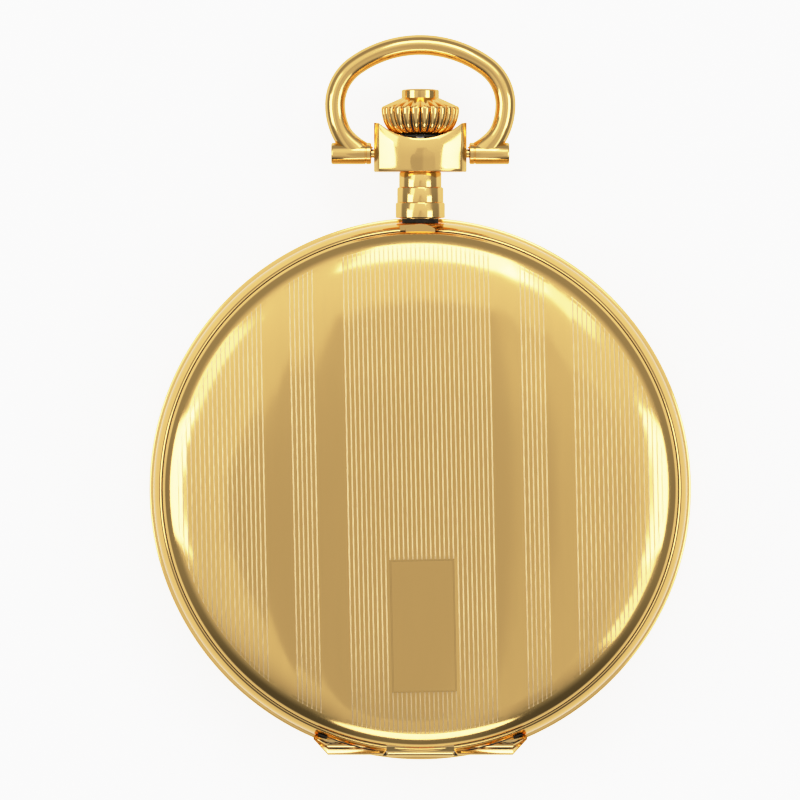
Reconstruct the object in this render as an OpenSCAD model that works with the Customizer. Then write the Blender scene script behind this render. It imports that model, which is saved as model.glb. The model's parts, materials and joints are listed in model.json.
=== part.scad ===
/* [Case] */
// Radius of the rear ring, the widest circle of the case
rear_r = 25; // [24:0.05:27]
// Width of the rear ring outside the case band
rear_w = 0.4; // [0.35:0.01:0.45]
// Width of the case band's shoulder outside the lid
shoulder_w = 0.94; // [0.9:0.01:1]
// Height of the back cover
back_h = 3.6; // [3.2:0.1:4.4]
// Height of the case band between the covers
band_h = 5.95; // [5.7:0.05:7]
// Height of the closed front lid above the band
lid_h = 3.35; // [3:0.05:4]
// Height of the lid's upright rim
lid_rim_h = 0.6; // [0.4:0.05:0.8]
// Thickness of the lid
lid_wall = 0.5; // [0.4:0.05:0.7]
// Thickness of the back cover
back_wall = 0.55; // [0.4:0.05:0.7]
// Width of the back's rolled edge outside the flat face that the watch rests on
roll_w = 8; // [6:0.5:10]
// Width of the lid's rim outside the opening for the crystal's bezel
lid_seat_w = 1.36; // [1.3:0.02:1.4]
// Width of the ledge under the bezel
ledge_w = 0.4; // [0.3:0.05:0.5]
// Power of the lid's shoulder curve
shoulder_power = 4; // [3:0.1:6]
// Thickness of the inner cover
dust_t = 0.35; // [0.3:0.05:0.45]

/* [Lid decoration] */
// Width of the blank cartouche
cartouche_w = 5.95; // [4:0.05:8]
// Length of the blank cartouche
cartouche_h = 12.2; // [9:0.1:14]
// Distance of the cartouche's middle below the lid's middle
cartouche_drop = 12.5; // [10:0.1:13]
// Turn of the engraved pattern, in degrees
pattern_turn = 1.2; // [0:0.1:3]
// Half width of the lid's thumb lip
thumb_half = 1.35; // [1:0.05:1.8]
// Reach of the thumb lip past the lid's edge
thumb_reach = 0.7; // [0.4:0.05:0.8]

/* [Hinge] */
// Distance of the hinge pin's axis outside the lid's edge
hinge_step = 0.34; // [0.3:0.01:0.4]
// Radius of the hinge knuckles
knuckle_r = 0.6; // [0.5:0.02:0.62]
// Radius of the hinge pin
hinge_pin_r = 0.25; // [0.2:0.01:0.3]
// Half length of the lid's middle knuckle
knuckle_half = 3.1; // [2.5:0.05:4]
// Half length of the hinge bar along its straight edge
bar_half = 8.5; // [7:0.1:9]
// Length of each chamfered wing past the straight edge
wing_w = 1.35; // [1:0.05:1.8]
// Distance of the bar's straight edge outside the hinge pin's axis
bar_step = 0.42; // [0.4:0.01:0.5]

/* [Pendant] */
// Height of the pendant's axis above the flat back
pendant_z = 5.9; // [5.8:0.05:6]
// Radius of the neck's top step
neck_top_r = 1.95; // [1.8:0.05:2]
// Radius of the neck's middle step
neck_mid_r = 2.13; // [2.05:0.02:2.2]
// Radius of the neck's lowest step
neck_low_r = 2.27; // [2.22:0.01:2.28]
// Length of one step of the neck
step_len = 1.4; // [1.2:0.05:1.6]
// Depth of the neck's shoulder inside the edge of the case band
neck_sink = 0.25; // [0.2:0.05:0.4]
// Radius of the neck's bore
neck_bore_r = 1.3; // [1.1:0.05:1.4]
// Half width of the pendant head
head_half = 4.26; // [4:0.05:4.6]
// Height of the pendant head
head_h = 4.55; // [4:0.05:5]
// Half depth of the pendant head
head_depth = 2.9; // [2.5:0.1:3.2]
// Width of the head's bevelled edges
head_bevel = 0.45; // [0.2:0.05:0.6]
// Depth of the saddle in the head's top
saddle_dip = 1.49; // [1.2:0.02:1.7]

/* [Bow] */
// Radius of the bow's wire
wire_r = 0.95; // [0.8:0.01:1]
// Radius of the arc over the top of the bow
bow_top_r = 10.36; // [9.5:0.01:11]
// Radius of the bow's shoulder arcs
bow_side_r = 4.4; // [4:0.01:4.8]
// Radius of the arcs that draw the bow's legs in
bow_leg_r = 6; // [5.6:0.05:6.5]
// Half width of the bow along the middle of its wire
bow_half = 7.85; // [7.6:0.01:8.1]
// Height of the bow's widest place above its pivots
bow_rise = 4.5; // [4.3:0.05:4.8]
// Radius of the barrels at the bow's feet
barrel_foot_r = 1; // [0.9:0.01:1.1]
// Length of the barrels
barrel_foot_len = 3.7; // [3.4:0.05:4]
// Gap between a barrel and the pendant head
bow_gap = 0.25; // [0.15:0.05:0.4]
// Radius of the bow's pivot pins
bow_pin_r = 0.4; // [0.3:0.01:0.45]

/* [Crown] */
// Radius of the crown at its widest
crown_r = 3.61; // [3.4:0.01:3.8]
// Height of the crown's bulb up to its widest place
bulb_h = 2.55; // [2.4:0.05:2.7]
// Number of flutes round the crown
flute_count = 24; // [16:1:30]
// Radius of the push button in the crown
button_r = 1.72; // [1.6:0.01:1.8]
// Height of the button above the crown
button_up = 0.87; // [0.75:0.01:1]
// Travel of the button
button_travel = 0.6; // [0.5:0.05:0.7]
// Travel of the crown when it is pulled to set the hands
pull_travel = 0.8; // [0.6:0.05:0.9]
// Radius of the stem's tube
stem_r = 0.95; // [0.85:0.01:1]
// Radius of the button's push rod
rod_r = 0.4; // [0.3:0.01:0.45]
// Radius of the cross pin at the foot of the push rod
cross_pin_r = 0.18; // [0.15:0.01:0.2]
// Width across the flats of the stem's square foot
square_w = 0.9; // [0.8:0.01:1]

/* [Movement] */
// Room round the main plate for the movement's ring
movement_ring_w = 2.2; // [2.15:0.05:2.4]
// Thickness of the main plate
plate_t = 2; // [1.9:0.05:2.1]
// Height of the space for the wheels under the plate
train_gap = 1.6; // [1.55:0.01:1.65]
// Thickness of the bridges
bridge_t = 0.7; // [0.6:0.02:0.75]
// Thickness of the train wheels
wheel_t = 0.18; // [0.15:0.01:0.2]
// Distance of the small seconds below the middle
seconds_off = 9.5; // [9.4:0.05:9.6]
// Module of the barrel's teeth
barrel_mod = 0.208; // [0.206:0.001:0.21]
// Module of the centre wheel's teeth
center_mod = 0.1444; // [0.143:0.0005:0.146]
// Module of the third wheel's teeth
third_mod = 0.1365; // [0.135:0.0005:0.138]
// Module of the fourth wheel's teeth
fourth_mod = 0.109; // [0.107:0.0005:0.111]
// Module of the winding wheels' teeth
winding_mod = 0.25; // [0.245:0.001:0.252]
// Radius of the balance
balance_r = 4.9; // [4.5:0.05:5]
// Radius of the arbors' pivots
pivot_r = 0.12; // [0.1:0.01:0.14]
// Running clearance round the pivots
pivot_gap = 0.03; // [0.02:0.005:0.05]

/* [Dial and hands] */
// Overhang of the dial past the main plate
dial_over = 0.5; // [0.2:0.05:0.6]
// Thickness of the dial
dial_t = 0.3; // [0.2:0.05:0.35]
// Length of the minute hand
minute_len = 15.5; // [13:0.1:17]
// Length of the hour hand
hour_len = 10.2; // [8:0.1:12]
// Length of the seconds hand
seconds_len = 3.2; // [2.5:0.1:3.6]
// Radius of the ring of numerals
numeral_r = 16.2; // [15:0.1:16.6]
// Height of the numerals
numeral_h = 2.9; // [2:0.1:3.4]
// Width of the bezel outside the crystal
bezel_w = 1.4; // [1.3:0.05:1.6]
// Thickness of the crystal
crystal_t = 0.7; // [0.5:0.05:0.8]

/* [Fits] */
// Gap between the covers and the band
seam = 0.05; // [0.03:0.01:0.08]
// Running clearance of the hinge, the pins and the stem
run_gap = 0.05; // [0.03:0.01:0.08]
// Gap between the lid's lip and the catch
catch_gap = 0.05; // [0.04:0.01:0.08]

/* [Hidden] */
$fn = 96;
BIG = 60;
// Circles of the case, from the rear ring inwards
band_r = rear_r - rear_w;
lid_r = band_r - shoulder_w;
seat_r = lid_r - lid_seat_w;
cavity_r = seat_r - ledge_w;
rest_r = rear_r - roll_w;
hinge_off = lid_r + hinge_step;
bar_off = hinge_off + bar_step;
neck_foot = band_r - neck_sink;
crystal_r = seat_r - bezel_w;
plate_r = cavity_r - movement_ring_w;
dial_r = plate_r + dial_over;
// Size of the movement against the drawing that its named sizes are taken from
drawn_plate_r = 19.7;
calibre = plate_r / drawn_plate_r;
barrel_m = calibre * barrel_mod;
center_m = calibre * center_mod;
third_m = calibre * third_mod;
fourth_m = calibre * fourth_mod;
winding_m = calibre * winding_mod;
// Heights
band_z0 = back_h + seam;
band_z1 = band_z0 + band_h;
lid_z0 = band_z1 + seam;
lid_z1 = lid_z0 + lid_h;
hinge_z = lid_z0 - 1.05;
plate_z0 = band_z0 + 1.55;
plate_z1 = plate_z0 + plate_t;
bridge_z1 = plate_z0 - train_gap;
bridge_z0 = bridge_z1 - bridge_t;
ledge_z = band_z1 - 1.3;
spigot_z = band_z0 - 1.05;
dust_r = rear_r - 2.2;
dial_z0 = ledge_z - 0.05 - dial_t;
head_y0 = neck_foot + 0.65 + 3 * step_len;
head_y1 = head_y0 + head_h;
pivot_y = head_y0 + 1.7;
foot_x0 = head_half + bow_gap;
crown_y0 = head_y1 - saddle_dip + 0.35;
crown_y1 = crown_y0 + bulb_h;
crown_y2 = crown_y1 + 0.85;
well_r = button_r + run_gap;
well_y = crown_y2 - 1.85;
pin_y = cavity_r - 0.6;
eye_y = pin_y - cross_pin_r - 0.1;
eye_t = 0.35;
eye_r = dial_z0 - 0.05 - pendant_z;
cross_half = 1.75;
post_z = pendant_z + cross_half + 0.1;
arbor_y0 = 15.2 * calibre;
arbor_y1 = plate_r - 0.1;
leaf_r = cavity_r - 0.45;
leaf_z0 = plate_z1 - 0.4;
leaf_z1 = ledge_z - 0.1;
leaf_end = 30;
leaf_pivot = (leaf_r - 0.7) * [cos(leaf_end), sin(leaf_end)];
// Tooth counts of the going train and the motion work
barrel_n = 78;
center_pinion_n = 12;
center_n = 80;
third_pinion_n = 10;
third_n = 75;
fourth_pinion_n = 10;
fourth_n = 80;
escape_pinion_n = 8;
escape_n = 15;
cannon_n = 12;
minute_n = 36;
minute_pinion_n = 10;
hour_n = 40;
crown_wheel_n = 32;
ratchet_n = 50;
winding_pinion_n = 14;
motion_off = 3.2 * calibre;
motion_mod = 2 * motion_off / (cannon_n + minute_n);
hour_mod = 2 * motion_off / (minute_pinion_n + hour_n);
// Where the arbors stand
barrel_dir = 135;
barrel_at = barrel_m * (barrel_n + center_pinion_n) / 2 * [cos(barrel_dir), sin(barrel_dir)];
fourth_at = calibre * [0, -seconds_off];
third_at = meet([0, 0], center_m * (center_n + third_pinion_n) / 2,
                fourth_at, third_m * (third_n + fourth_pinion_n) / 2);
escape_dir = 206;
escape_at = fourth_at
          + fourth_m * (fourth_n + escape_pinion_n) / 2 * [cos(escape_dir), sin(escape_dir)];
pallet_at = escape_at + calibre * [-3.3, 1.0];
balance_at = pallet_at + calibre * [-3.3, 4.0];
minute_dir = 40;
minute_at = motion_off * [cos(minute_dir), sin(minute_dir)];
crown_wheel_at = [0, barrel_at[1] + sqrt(pow(winding_m * (crown_wheel_n + ratchet_n) / 2, 2)
                                         - pow(barrel_at[0], 2))];
core_r = 1.2;
contrate_r = winding_m * crown_wheel_n / 2 - 0.4 * calibre;
contrate_w = 0.3 * calibre;
winding_r = contrate_r * winding_pinion_n / crown_wheel_n;
// Heights of the wheels
barrel_wheel_z = plate_z0 - 0.54;
center_wheel_z = plate_z0 - 1.05;
third_wheel_z = plate_z0 - 1.4;
fourth_wheel_z = plate_z0 - 0.45;
escape_wheel_z = plate_z0 - 0.82;
balance_z = plate_z0 - 1.6;
cock_z0 = balance_z - 1;

// Where two circles round p and q meet, on the right of the line from p to q
function meet(p, rp, q, rq) =
    let (d = norm(q - p), a = (rp * rp - rq * rq + d * d) / (2 * d), u = (q - p) / d,
         h = sqrt(rp * rp - a * a))
    p + a * u + h * [-u[1], u[0]];
function direction(p, q) = atan2(q[1] - p[1], q[0] - p[0]);
// Points of a quarter of an ellipse, from its side to its top
function quarter(r0, z0, a, b, steps = 8) =
    [for (i = [0 : steps]) [r0 + a * cos(90 * i / steps), z0 + b * sin(90 * i / steps)]];
// Points of the lid's shoulder and dome, from its rim to its middle
function dome(r, h, z, steps = 18) =
    [for (i = [0 : steps])
        let (t = 90 * i / steps) [r * pow(cos(t), 2 / shoulder_power), z + h * sin(t)]];

module disc(r, z0, z1) translate([0, 0, z0]) cylinder(r = r, h = z1 - z0);
module ring(ro, ri, z0, z1) difference() {
    disc(ro, z0, z1);
    disc(ri, z0 - 1, z1 + 1);
}
// A round bar along the pendant's axis
module rod(r, y0, y1) translate([0, y0, pendant_z]) rotate([-90, 0, 0]) cylinder(r = r, h = y1 - y0);
// A round bar across the case
module across(r, x0, x1, y, z) translate([x0, y, z]) rotate([0, 90, 0]) cylinder(r = r, h = x1 - x0);
module box(low, high) translate(low) cube(high - low);
module at(p) translate([p[0], p[1], 0]) children();
// The same shapes in the movement, which is as large in plan as its calibre
module post(r, z0, z1) disc(calibre * r, z0, z1);
module hoop(ro, ri, z0, z1) ring(calibre * ro, calibre * ri, z0, z1);
module block(low, high) box(plan(low), plan(high));
function plan(p) = [calibre * p[0], calibre * p[1], p[2]];
// Outline of a toothed wheel, with a tooth that points along phase
module toothed(n, mod, phase) {
    step = 360 / n;
    r = n * mod / 2;
    root = r - 1.25 * mod;
    tip = r + 0.85 * mod;
    corners = [[root, -0.29], [tip, -0.11], [tip, 0.11], [root, 0.29]];
    polygon([for (i = [0 : n - 1]) for (c = corners)
        let (a = phase + (i + c[1]) * step) c[0] * [cos(a), sin(a)]]);
}
module gear(n, mod, phase, z0, t) translate([0, 0, z0]) linear_extrude(t) toothed(n, mod, phase);
// A spoked wheel on a pinion and its pivoted arbor
module wheel(n, mod, phase, z, spokes, hub_r) {
    rim_r = n * mod / 2 - 3 * mod;
    difference() {
        gear(n, mod, phase, z, wheel_t);
        difference() {
            disc(rim_r, z - 1, z + 1);
            post(hub_r, z - 2, z + 2);
            for (i = [0 : spokes - 1]) rotate(i * 360 / spokes)
                block([0, -0.25, z - 2], [rim_r + 1, 0.25, z + 2]);
        }
    }
}
module arbor(r, z0, z1, pivot0, pivot1) {
    post(r, z0, z1);
    post(pivot_r, pivot0, z0 + 0.01);
    post(pivot_r, z1 - 0.01, pivot1);
}

// Case
// Points of the back's rolled edge, from its flat face out to its rim
function rolled(r, h) = [for (i = [8 : -1 : 0]) quarter(rest_r, back_h - 1.2, r, -h)[i]];
module back_cover() color("goldenrod") difference() {
    rotate_extrude() polygon(concat(
        [[0, 0]], rolled(rear_r - rest_r, back_h - 1.2),
        [[rear_r, back_h - 0.15], [rear_r - 0.15, back_h], [0, back_h]]));
    rotate_extrude() polygon(concat(
        [[0, back_wall]], rolled(rear_r - rest_r - 1, back_h - 1.2 - back_wall),
        [[rear_r - 1, back_h + 1], [0, back_h + 1]]));
}
module case_band() color("gold") difference() {
    middle_z = band_z0 + 2.4;
    edge_r = lid_r + 0.06;
    rotate_extrude() polygon(concat(
        [[cavity_r, spigot_z], [rear_r - 1.05, spigot_z], [rear_r - 1.05, band_z0],
         [band_r - 0.3, band_z0]],
        quarter(edge_r, middle_z, band_r - edge_r, band_z1 - middle_z),
        [[seat_r, band_z1], [seat_r, ledge_z], [cavity_r, ledge_z]]));
    rod(1.9, cavity_r - 1.9, rear_r + 1);
    rod(neck_low_r, neck_foot, rear_r + 1);
    box([-1.9, lid_r + 0.1, pendant_z + neck_low_r + 0.1], [1.9, rear_r + 1, BIG]);
    translate([0, 0, bar_z0]) linear_extrude(BIG) bar_outline();
    box([-1.5, -hinge_off + 0.5, leaf_z1 - 0.35], [1.5, -cavity_r + 1, leaf_z1 + 0.2]);
    box([-1.8, cavity_r - 1, leaf_z0 - 0.3], [1.8, seat_r, ledge_z + 0.1]);
}
module dust_cover() color("khaki") {
    z = spigot_z - seam - 0.7 - dust_t;
    disc(dust_r, z, z + dust_t);
    ring(dust_r, dust_r - 0.6, z + dust_t - 0.01, spigot_z - seam);
}
module front_lid() color("gold") {
    inner_r = lid_r - lid_wall;
    rim_z = lid_z0 + lid_rim_h;
    lip_r = seat_r + 0.25;
    rotate_extrude() polygon(concat(
        [[lip_r, lid_z0], [lid_r, lid_z0]],
        dome(lid_r, lid_h - lid_rim_h, rim_z),
        [for (i = [18 : -1 : 0]) dome(inner_r, lid_h - lid_rim_h - lid_wall, rim_z)[i]],
        [[lip_r, rim_z]]));
    thumb_lip();
    cartouche();
}
module thumb_lip() intersection() {
    box([-thumb_half, lid_r - 0.4, lid_z0], [thumb_half, lid_r + thumb_reach, lid_z0 + 0.45]);
    at([0, lid_r + thumb_reach - 2.2]) disc(2.2, lid_z0 - 1, lid_z0 + 1);
}
// A thin raised panel with a border, on the dome
module cartouche() rotate(pattern_turn) intersection() {
    translate([0, -cartouche_drop, 0]) difference() {
        box([-cartouche_w / 2, -cartouche_h / 2, lid_z0 + 1], [cartouche_w / 2, cartouche_h / 2, BIG]);
        box([-cartouche_w / 2 + 0.15, -cartouche_h / 2 + 0.15, lid_z0],
            [cartouche_w / 2 - 0.15, cartouche_h / 2 - 0.15, BIG + 1]);
    }
    rotate_extrude() polygon(concat(
        [for (p = dome(lid_r, lid_h - lid_rim_h, lid_z0 + lid_rim_h + 0.03)) p],
        [for (i = [18 : -1 : 0]) dome(lid_r, lid_h - lid_rim_h, lid_z0 + lid_rim_h - 0.05)[i]]));
}
// The lid's middle knuckle, with the arm that joins it to the lid's rim
module lid_knuckle() color("gold") difference() {
    union() {
        across(knuckle_r, -knuckle_half, knuckle_half, -hinge_off, hinge_z);
        translate([-knuckle_half, -hinge_off, hinge_z]) rotate([90, 0, 90])
            linear_extrude(2 * knuckle_half)
                polygon([[-0.35, 0.2], [0.34, 1.05], [0.95, 1.05], [0.5, 0]]);
    }
    across(hinge_pin_r + run_gap, -BIG, BIG, -hinge_off, hinge_z);
}
bar_z0 = hinge_z - 1.6;
bar_z1 = hinge_z + knuckle_r;
bar_in = hinge_off - 1.05;
module bar_outline() polygon([
    [-bar_half - wing_w, -bar_in], [-bar_half, -bar_off],
    [bar_half, -bar_off], [bar_half + wing_w, -bar_in]]);
module hinge_bar() color("goldenrod") difference() {
    translate([0, 0, bar_z0]) linear_extrude(bar_z1 - bar_z0) bar_outline();
    box([-knuckle_half - run_gap, -BIG, bar_z0 + 0.5], [knuckle_half + run_gap, 0, BIG]);
    across(hinge_pin_r, -bar_half + 0.6, bar_half - 0.6, -hinge_off, hinge_z);
    for (s = [-1, 1]) translate([s * (bar_half + 0.4), -bar_in - 0.1, bar_z1 + 0.15])
        rotate([0, 0, s * -14]) scale(1) rotate([0, 90, 0]) cylinder(r = 0.55, h = 6, center = true);
}
module hinge_pin() color("silver")
    across(hinge_pin_r, -bar_half + 0.6, bar_half - 0.6, -hinge_off, hinge_z);

// Springs of the lid
module arc_strip(r, t, a0, a1, z0, z1) rotate(a0) translate([0, 0, z0])
    rotate_extrude(angle = a1 - a0) translate([r, 0]) square([t, z1 - z0]);
module lift_spring() color("steelblue") {
    arc_strip(leaf_r, 0.25, 270, 320, leaf_z0, leaf_z1);
    box([-1.2, -leaf_r - 0.25, leaf_z0], [0.6, -leaf_r + 0.1, leaf_z1]);
    box([-1.2, -hinge_off + 0.85, leaf_z1 - 0.25], [0.6, -leaf_r, leaf_z1]);
}
module lock_spring() color("steelblue") difference() {
    post_y = seat_r - 0.1;
    hook_y = seat_r + 0.23 - catch_gap;
    hook_z = lid_z0 + lid_rim_h + 0.05;
    union() {
        arc_strip(leaf_r, 0.25, leaf_end - 2.5, 84.5, leaf_z0, leaf_z1);
        at(leaf_pivot) disc(0.8, leaf_z0 + 0.05, leaf_z1 - 0.4);
        box([0, leaf_r - 0.15, post_z], [2.5, leaf_r + 0.15, leaf_z1 - 0.1]);
        // Eye round the stem
        rod(eye_r, eye_y - eye_t, eye_y);
        box([-1.5, eye_y - eye_t, pendant_z + 0.5], [1.5, eye_y, pendant_z + eye_r]);
        // Arm and catch
        translate([-1.2, 0, 0]) rotate([90, 0, 90]) linear_extrude(2.4) polygon([
            [eye_y - 0.1, post_z], [post_y, post_z], [post_y, hook_z], [hook_y, hook_z],
            [hook_y, hook_z + 0.4], [post_y - 0.45, hook_z + 0.4], [post_y - 0.45, leaf_z1 - 0.1],
            [eye_y - 0.1, leaf_z1 - 0.1]]);
    }
    rod(stem_r + 0.5, eye_y - 1, eye_y + 0.2);
    at(leaf_pivot) disc(0.4 + run_gap, leaf_z0 - 1, BIG);
}
module lock_spring_screw() color("slategray") {
    at(leaf_pivot) disc(0.4, plate_z0 + 0.1, leaf_z1 - 0.35);
    at(leaf_pivot) disc(0.5, leaf_z1 - 0.35, leaf_z1 - 0.05);
}

// Crystal
crystal_z = ledge_z + 0.3;
edge_z = crystal_z + crystal_t;
module crystal_bezel() color("gold") difference() {
    out_r = seat_r - run_gap;
    rotate_extrude() polygon([
        [crystal_r - 0.5, ledge_z], [out_r, ledge_z], [out_r, band_z1 - 0.15], [out_r - 0.15, band_z1],
        [crystal_r - 0.35, band_z1], [crystal_r - 0.5, band_z1 - 0.08], [crystal_r - 0.5, edge_z + 0.05],
        [crystal_r + 0.2, edge_z + 0.05], [crystal_r + 0.2, crystal_z], [crystal_r - 0.5, crystal_z]]);
    box([-1.9, seat_r - 1.25, 0], [1.9, BIG, BIG]);
}
module crystal() color("azure", 0.35) rotate_extrude() polygon([
    [0, crystal_z + 0.65], [crystal_r - 4, crystal_z + 0.5], [crystal_r - 1.2, crystal_z],
    [crystal_r, crystal_z], [crystal_r, edge_z], [crystal_r - 0.7, edge_z],
    [crystal_r - 1, edge_z + 0.3], [crystal_r - 4, edge_z + 0.5], [0, edge_z + 0.65]]);
module crystal_gasket() color("dimgray") ring(crystal_r + 0.18, crystal_r + 0.02, crystal_z, edge_z);

// Pendant
module neck_step(r, y) {
    rod(r, y, y + step_len - 0.12);
    translate([0, y + step_len - 0.12, pendant_z]) rotate([-90, 0, 0])
        cylinder(r1 = r, r2 = r - 0.12, h = 0.12);
}
module pendant_neck() color("gold") difference() {
    union() {
        rod(1.9, neck_foot - 1.3, neck_foot + 0.1);
        rod(neck_low_r, neck_foot, neck_foot + 0.7);
        neck_step(neck_low_r, neck_foot + 0.65);
        neck_step(neck_mid_r, neck_foot + 0.65 + step_len);
        neck_step(neck_top_r, neck_foot + 0.65 + 2 * step_len);
    }
    rod(neck_bore_r, 0, BIG);
}
module head_face(w, h, b) polygon([
    [-w, -h + b], [-w + b, -h], [w - b, -h], [w, -h + b], [w, h - b], [w - b, h], [-w + b, h],
    [-w, h - b]]);
module pendant_head() color("gold") difference() {
    half = saddle_half();
    saddle_r = (half * half + saddle_dip * saddle_dip) / (2 * saddle_dip);
    intersection() {
        translate([0, head_y0, pendant_z]) rotate([-90, 0, 0]) linear_extrude(head_h)
            head_face(head_half, head_depth, head_bevel);
        translate([0, head_y0 + head_h / 2, 0]) linear_extrude(BIG)
            head_face(head_half, head_h / 2, 0.12);
    }
    translate([0, head_y1 - saddle_dip + saddle_r, -1]) cylinder(r = saddle_r, h = BIG, $fn = 180);
    rod(neck_bore_r, 0, BIG);
    across(bow_pin_r, -BIG, BIG, pivot_y, pendant_z);
}
function saddle_half() = head_half - 0.36;

// Bow
// A point of the wire's middle line with its outward direction, at angle a of an arc
function on_arc(r, c, a) = [[c[0] + r * cos(a), c[1] + r * sin(a)], [cos(a), sin(a)]];
// The right half of the wire's middle line, from its foot up to the top
function half_route() =
    let (side_x = bow_half - bow_side_r, gap = bow_top_r - bow_side_r,
         top_y = bow_rise - sqrt(gap * gap - side_x * side_x), turn = acos(side_x / gap),
         leg_turn = asin((bow_rise - 0.35) / bow_leg_r))
    concat([for (i = [0 : 5]) on_arc(bow_leg_r, [bow_half - bow_leg_r, bow_rise], leg_turn * (i / 6 - 1))],
           [for (i = [0 : 9]) on_arc(bow_side_r, [side_x, bow_rise], turn * i / 10)],
           [for (i = [0 : 9]) on_arc(bow_top_r, [0, top_y], turn + (90 - turn) * i / 9)]);
function flipped(q) = [[-q[0][0], q[0][1]], [-q[1][0], q[1][1]]];
module wire(sides = 16) {
    half = half_route();
    n = len(half);
    route = concat(half, [for (i = [n - 2 : -1 : 0]) flipped(half[i])]);
    m = len(route);
    points = [for (q = route) for (k = [0 : sides - 1])
        let (a = 360 * (k + 0.5) / sides, out = wire_r * cos(a))
        [q[0][0] + out * q[1][0], q[0][1] + out * q[1][1], wire_r * sin(a)]];
    skin = [for (i = [0 : m - 2]) for (k = [0 : sides - 1])
        let (a = i * sides + k, b = i * sides + (k + 1) % sides)
        each [[a, b, b + sides], [a, b + sides, a + sides]]];
    ends = [[for (k = [sides - 1 : -1 : 0]) k], [for (k = [0 : sides - 1]) (m - 1) * sides + k]];
    polyhedron(points, concat(skin, ends));
}
module bow() color("gold") translate([0, pivot_y, pendant_z]) difference() {
    union() {
        wire();
        for (s = [0, 1]) mirror([s, 0, 0]) translate([foot_x0, 0, 0]) rotate([0, 90, 0]) rotate_extrude()
            polygon([[0, 0], [barrel_foot_r - 0.15, 0], [barrel_foot_r, 0.15],
                     [barrel_foot_r, barrel_foot_len - 0.15], [barrel_foot_r - 0.15, barrel_foot_len],
                     [0, barrel_foot_len]]);
    }
    for (s = [0, 1]) mirror([s, 0, 0]) across(bow_pin_r + run_gap, 1, BIG, 0, 0);
}
module bow_pins() color("goldenrod") for (s = [0, 1]) mirror([s, 0, 0])
    across(bow_pin_r, neck_bore_r + 0.4, foot_x0 + barrel_foot_len - 0.1, pivot_y, pendant_z);

// Crown
module crown() color("gold") difference() {
    translate([0, 0, pendant_z]) rotate([-90, 0, 0]) rotate_extrude() polygon([
        [0, crown_y0], [0.55 * crown_r, crown_y0], [0.72 * crown_r, crown_y0 + 0.16 * bulb_h],
        [0.87 * crown_r, crown_y0 + 0.4 * bulb_h], [0.96 * crown_r, crown_y0 + 0.7 * bulb_h],
        [crown_r, crown_y1 - 0.15], [crown_r - 0.05, crown_y1 + 0.05], [well_r + 0.05, crown_y2],
        [0, crown_y2]]);
    rod(well_r, well_y, BIG);
    rod(stem_r, crown_y0 - 1, well_y - 0.4);
    rod(rod_r + run_gap, 0, BIG);
    for (i = [0 : flute_count - 1]) translate([0, crown_y1 + 0.1, pendant_z])
        rotate([0, i * 360 / flute_count, 0]) translate([crown_r + 0.2, 0, 0])
            rotate([90, 0, -22]) cylinder(r = 0.36, h = 6, $fn = 24);
}
module release_button() color("goldenrod") {
    difference() {
        union() {
            rod(button_r, well_y + button_travel + 0.1, crown_y2 + button_up - 0.1);
            translate([0, crown_y2 + button_up - 0.11, pendant_z]) rotate([-90, 0, 0])
                cylinder(r1 = button_r, r2 = button_r - 0.2, h = 0.11);
        }
        rod(1.35, 0, crown_y2 + button_up - 0.5);
    }
    rod(rod_r, pin_y - cross_pin_r - 0.1, crown_y2 + button_up - 0.4);
    across(cross_pin_r, -cross_half, cross_half, pin_y, pendant_z);
}
module button_spring() color("silver") difference() {
    rod(1.25, well_y + button_travel + 0.05, crown_y2 + button_up - 0.5);
    rod(rod_r + 0.3, 0, BIG);
}
module winding_stem() color("silver") difference() {
    union() {
        rod(stem_r, arbor_y1 + 1 - pull_travel + 0.1, well_y - 0.4);
        box([-square_w / 2, arbor_y0 + 0.8, pendant_z - square_w / 2],
            [square_w / 2, arbor_y1 + 1, pendant_z + square_w / 2]);
    }
    rod(rod_r + run_gap, pin_y - button_travel - 0.5, BIG);
    box([-2, pin_y - button_travel - 0.3, pendant_z - cross_pin_r - run_gap],
        [2, pin_y + 0.3, pendant_z + cross_pin_r + run_gap]);
}
module winding_arbor() color("steelblue") difference() {
    union() {
        rod(1.1, arbor_y0, arbor_y1);
        translate([0, crown_wheel_at[1] + contrate_r + contrate_w + 0.05, pendant_z])
            rotate([90, 0, 0]) linear_extrude(2 * contrate_w + 0.1)
                toothed(winding_pinion_n, 2 * winding_r / winding_pinion_n, -90);
    }
    box([-square_w / 2 - run_gap, 0, pendant_z - square_w / 2 - run_gap],
        [square_w / 2 + run_gap, BIG, pendant_z + square_w / 2 + run_gap]);
}

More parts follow.
